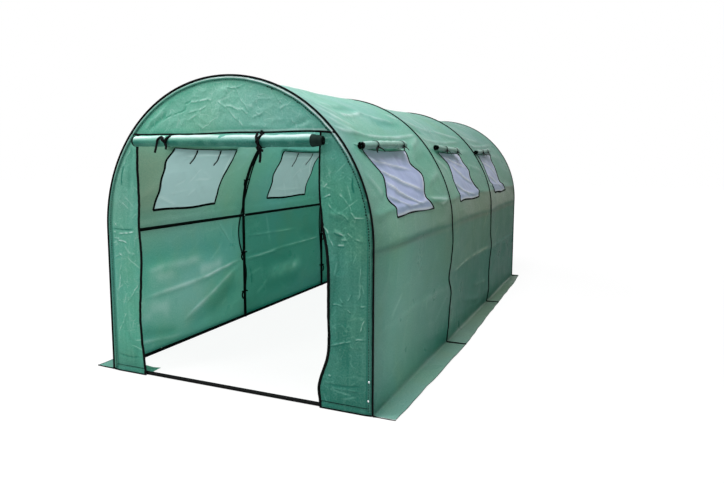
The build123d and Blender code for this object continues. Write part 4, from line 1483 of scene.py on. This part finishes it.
knots, outward = along_arch(0.024, 0.0080)
chance = np.random.default_rng(1300)
stitches = []
for k in range(0, len(knots) - 1, 2):
    strong = chance.uniform(0.4, 1.2) * (1.0 if knots[k][0] > 0.3 and knots[k][2] > wall_top else 0.45)
    reach = chance.uniform(-0.004, 0.006) * strong
    path = np.array([knots[k], (knots[k] + knots[k + 1]) / 2 - outward[k] * reach, knots[k + 1]])
    path[:, 1] = front_y - 0.0030
    stitches.append(band_patch(path, to_the_door, 0.0040 * strong, 0.0010, sides=4))
make_piece("front_edge_stitches", stitches, thread, "tie_ribbon")
print(len(stitches), "stitches along", round(len(line) * sleeve_step, 1), "m of sleeve")

# %% [markdown]
# ### The header's angle on the arch
#
# The angle at which the header seam meets the end arch, seen from the arch's centre.

angle = asin((header_z - wall_top) / edge_radius)

# %% [markdown]
# ## The rolled door
#
# The door is one sheet, a little wider than the doorway and a little longer, rolled up by hand and tied under
# the header. The roll is thinner at its left end. At its right end the bound edge has crept out of the turns
# into a black cone.

# %% Wind the door
low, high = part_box("door_roll")
roll_low, roll_radius = low.z, (front_y - low.y) / 2
count = 110  # columns along the roll
along = np.linspace(low.x + 0.012, high.x - 0.044, count)
t = (along - along[0]) / (along[-1] - along[0])
rise = 0.007 * (t - 0.55) + 0.002 * np.sin(t * 6)
centre = places(along, front_y - roll_radius, roll_low + roll_radius + rise)
radius = 0.0335 + 0.0045 * clamp(t * 2.2) + 0.0008 * np.sin(t * 21)
radius = radius * (1 - 0.14 * ramp(t, 0.97, 0.03))
anchor = places(along, front_y - 0.002, header_sag(along) - 0.003)
up, out = np.array(upwards), np.array(to_the_door)
rows, flat = wound_sheet(
    centre, up, out, anchor, radius, core=0.008, turns=12, creep=(0.006, 0.032), seed=810, per_turn=26
)
print("roll centre", round(float(centre[0, 2]), 3), "to", round(float(centre[-1, 2]), 3), "m high")

# %% Ribbon paths and knots
def smooth_path(points, count=24):
    """A smooth curve through a few places."""
    points = np.asarray(points, float)
    knots = np.r_[0, np.cumsum(np.linalg.norm(np.diff(points, axis=0), axis=1))]
    x = np.linspace(0, knots[-1], count)
    return np.stack([through(x, knots, points[:, k]) for k in range(3)], axis=-1)


def knot_patches(place, size=0.011):
    """A small knot: two turns of ribbon pulled tight across each other."""
    turn = np.linspace(0, 2 * pi, 18)
    patches = []
    for tilt in (0.5, -0.7):
        x, y, z = np.cos(turn) * size * 0.75, np.sin(turn * 2) * 0.002 - 0.002, np.sin(turn) * size * 0.8
        ring = places(x * cos(tilt) - z * sin(tilt), y, x * sin(tilt) + z * cos(tilt))
        patches.append(band_patch(ring + place, to_the_door, 0.005, 0.0035, sides=6))
    return patches


print("a knot has", len(knot_patches(np.zeros(3))), "turns")

# %% [markdown]
# Two ribbons hold the roll. Each comes from the header, goes round the roll and ends in a knot. The left one
# is tied in front of the roll, with a folded end that lies over it and points down to the left. The right
# one is pulled through below the roll and its tail hangs straight down.

# %% Ties of the door roll
tie_patches = []
turn = np.linspace(-0.5, 2 * pi - 0.6, 44)


def roll_at(x):
    """Centre and radius of the roll at a place along it."""
    return float(np.interp(x, along, centre[:, 2])), float(np.interp(x, along, radius))


def in_front(points, lift=0.0):
    """Places on the front of the roll, or just in front of its plane below it, from (x, z) pairs."""
    found = []
    for x, z in points:
        height, size = roll_at(x)
        reach = sqrt(size**2 - min(max(z - height, 0.0), size) ** 2)
        found.append((x, front_y - roll_radius - reach - 0.003 - lift, z))
    return found


for place, lean in ((-0.400, 0.020), (0.280, -0.016)):
    height, size = roll_at(place)
    size = size + 0.0022
    axis_y = front_y - roll_radius
    loop = places(place + lean * np.cos(turn), axis_y - size * np.sin(turn), height + size * np.cos(turn))
    normals = (loop - (0, axis_y, height)) * (0, 1, 1)
    tie_patches.append(band_patch(loop, normals, 0.0085, 0.0009))
    sewn_on = (place + lean, front_y - 0.003, header_z + (0.016 if place > 0 else -0.012))
    bend = (place + lean, front_y - 0.010, header_z - (0.004 if place > 0 else 0.016))
    hook = smooth_path([sewn_on, bend, loop[2]], 10)
    tie_patches.append(band_patch(hook, (0.0, -1.0, 0.3), 0.0085, 0.0009))
left_tail = [(-0.415, 1.612), (-0.440, 1.622), (-0.462, 1.606), (-0.468, 1.580), (-0.476, 1.553), (-0.487, 1.524)]
ribbons = [
    in_front(left_tail, 0.004),
    in_front([(-0.445, 1.628), (-0.425, 1.605), (-0.402, 1.590), (-0.392, 1.570), (-0.394, 1.545)], 0.007),
    in_front([(-0.372, 1.630), (-0.392, 1.615), (-0.404, 1.598)], 0.004),
    in_front([(0.268, 1.655), (0.272, 1.630), (0.284, 1.600), (0.292, 1.572), (0.296, 1.552)], 0.005),
    in_front([(0.312, 1.640), (0.296, 1.622), (0.286, 1.600)], 0.004),
    in_front([(0.296, 1.556), (0.304, 1.530), (0.303, 1.500), (0.299, 1.472)]),
    in_front([(0.290, 1.552), (0.306, 1.545), (0.324, 1.541)]),
]
for points in ribbons:
    path = smooth_path(points, 20)
    tie_patches.append(band_patch(path, (0.15, -1.0, 0.0), 0.0080, 0.0012, sides=6))
for x, z in ((-0.404, 1.596), (0.288, 1.592), (0.294, 1.556)):
    tie_patches += knot_patches(np.array(in_front([(x, z)], 0.006)[0]))
# The door's bound left edge is made of the same black cloth, so it goes with the ties.
tie_patches.append(grid_patch(rows[7:, :2], flat[7:, :2]))
ties = make_piece("door_roll_ties", tie_patches, piping_cloth, "tie_ribbon", "door_ties")
# The door roll gets a strong painted highlight on top and painted shade underneath.
roll_pieces(
    "door_flap", rows[:, 1:], flat[:, 1:], (0, count - 5), "door_roll", lit_cap_cloth,
    per_turn=26, painted_brightening=0.0, glare=1.9, gloom=0.75,
)

# %% [markdown]
# ## The ground flap, and what is tied inside
#
# A tongue of the skirt lies inside the left jamb. It was cut from the same sheet, so it gets the same
# finish. Inside, short strings hold the cover to the poles, and they are drawn as thin bands round them.

# %% Ground flap and pole ties
low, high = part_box("front_left_ground_flap")
print("flap box", [round(c, 3) for c in low], [round(c, 3) for c in high])
across, along = np.meshgrid(np.linspace(0, 1, 26), np.linspace(0, 1, 18))
x = low.x + (high.x - low.x) * across
y = low.y + (high.y - low.y) * along
z = (0.004 + (high.z - low.z) * 0.4) * clamp(1 - across) + 0.006 + 0.004 * slack(x, y, 0.07, 1200)
patch = grid_patch(places(x, y, z), places(x, y))
flap = make_piece("ground_flap", [patch], cover_sheet, "cover_sheet", "front_left_ground_flap")

pole_ties, down = [], np.linspace(0, 1, 9)
across, turn = np.linspace(-1, 1, 9), np.linspace(0, 2 * pi, 20)
low_ties = (0.25, 0.62)
all_ties = {(second, -1): (*low_ties, 1.3), (third, -1): low_ties, (second, 1): low_ties, (third, 1): low_ties}
for (y, side), heights in all_ties.items():
    for height in heights:
        angle = max(0.0, height - wall_top) / hoop_radius
        place = np.array([side * hoop_radius * cos(angle), y, min(height, wall_top) + hoop_radius * sin(angle)])
        size = tube_radius + 0.001
        ring = places(np.cos(turn) * size, np.sin(turn) * size, 0.01 * np.sin(turn))
        pole_ties.append(band_patch(place + ring, ring * (1, 1, 0), 0.004, 0.0008, sides=6))
        free_end = -1 if y == second else 1
        facing, sideways = np.array([-side * 0.6, -0.8, 0.0]), np.array([-side * 0.8, 0.6, 0.0])
        knot = place + facing * (tube_radius + 0.005)
        bow = knot + across[:, None] * 0.028 * sideways
        bow[:, 2] += 0.004 * np.sin(across * 3)
        tail = knot + (free_end * (0.012 + 0.012 * np.sin(down * 3)))[:, None] * sideways
        tail[:, 2] -= 0.075 * down
        pole_ties += [band_patch(path, facing, 0.0065, 0.0014, sides=6) for path in (bow, tail)]
make_piece("inside_pole_ties", pole_ties, piping_cloth, "tie_ribbon")
print(len(pole_ties) // 3, "pole ties")

# %% [markdown]
# ## Floor, light and camera
#
# The tunnel stands on a plain white floor in a white room. The world looks white to the camera and to
# reflections, but lights the object less strongly, so that its greens aren't washed out. Three large soft
# lamps do the modelling, because a cover that lets light through needs light from a direction to show its
# folds: one in front on the left for the end panel, a wide one overhead for the roof and its sleeve, and one
# on the left that shines through the left wall. The floor mixes a little glow into what the camera sees and
# keeps the shadow.

# %% Floor and world
floor_mesh = bpy.data.meshes.new("floor")
reach, depth = 30, -0.0008
corners = [(x * reach, y * reach, depth) for x, y in ((-1, -1), (1, -1), (1, 1), (-1, 1))]
floor_mesh.from_pydata(corners, [], [(0, 1, 2, 3)])
floor = add_object("floor", floor_mesh)
floor_paint, tree = new_material("studio_floor_white")
distance = add_node(tree, "VectorMath", {0: in_room(tree)}, operation="LENGTH").outputs["Value"]
camera_ray = add_node(tree, "LightPath").outputs["Is Camera Ray"]
share = total(tree, "MULTIPLY", camera_ray, stretch(tree, distance, 3.0, 7.0, 0.85, 1.0))
matte = add_node(tree, "BsdfDiffuse", {"Color": linear("#E2E2E2")})
glow = add_node(tree, "Emission", {"Color": (1, 1, 1, 1), "Strength": 1.08})
show(tree, mixed(tree, share, matte, glow))
floor_mesh.materials.append(floor_paint)
floor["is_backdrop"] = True

world = bpy.data.worlds.new("white_room")
bpy.context.scene.world = world
world.use_nodes = True
tree = world.node_tree
tree.nodes.clear()
rays = add_node(tree, "LightPath").outputs
seen = total(tree, "MAXIMUM", rays["Is Camera Ray"], rays["Is Glossy Ray"])
seen = total(tree, "MAXIMUM", seen, rays["Is Transmission Ray"])
strength = stretch(tree, seen, 0.0, 1.0, 0.25, 1.0)
room = add_node(tree, "Background", {"Color": (1, 1, 1, 1), "Strength": strength})
add_node(tree, "OutputWorld", {"Surface": room.outputs[0]})
print("floor and world are white")

# %% Lamps
def soft_lamp(name, place, target, size, power):
    lamp = bpy.data.lights.new(name, "AREA")
    lamp.shape, lamp.size, lamp.energy = "DISK", size, power
    holder = add_object(name, lamp)
    holder.location = place
    holder.rotation_euler = (Vector(target) - Vector(place)).to_track_quat("-Z", "Y").to_euler()


soft_lamp("front_left_lamp", (-2.4, -4.6, 3.5), (-0.3, front_y, 1.4), 1.6, 95)
soft_lamp("overhead_lamp", (0.8, -2.6, 6.5), (0.2, -0.6, 0.5), 3.0, 390)
soft_lamp("left_lamp", (-3.2, -0.8, 5.2), (-0.8, -0.8, 0.6), 2.0, 90)
print("3 lamps")

# %% [markdown]
# The camera stands at eye height in front of the doorway, a little to the right. Its lens is moderately
# wide, which is why the far end looks so much smaller than the door.

# %% Camera
view = bpy.data.cameras.new("camera")
view.sensor_width, view.lens = 36.0, 28.706
view.shift_x, view.shift_y = -0.05044, -0.02609
view.clip_end = 100
camera = add_object("camera", view)
to_the_right, before_the_door, eye_height = 2.2897, 2.9594, 1.5046
heading, looking_down, roll = 0.3689, 0.1106, 0.0109
turn = Matrix.Rotation(heading, 4, "Z") @ Matrix.Rotation(pi / 2 - looking_down, 4, "X")
place = Matrix.Translation((to_the_right, front_y - before_the_door, eye_height))
camera.matrix_world = place @ (turn @ Matrix.Rotation(roll, 4, "Z"))
bpy.context.scene.camera = camera
bpy.context.scene.view_settings.view_transform = "Standard"
print("camera at", [round(c, 2) for c in camera.location])

# %% [markdown]
# ## The size of what is shown
#
# Nothing made here may change how big the tunnel is. The box of what is shown now is printed.

# %% Print the box of what is shown
low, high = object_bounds()
print("visual box from", [round(c, 3) for c in low], "to", [round(c, 3) for c in high])
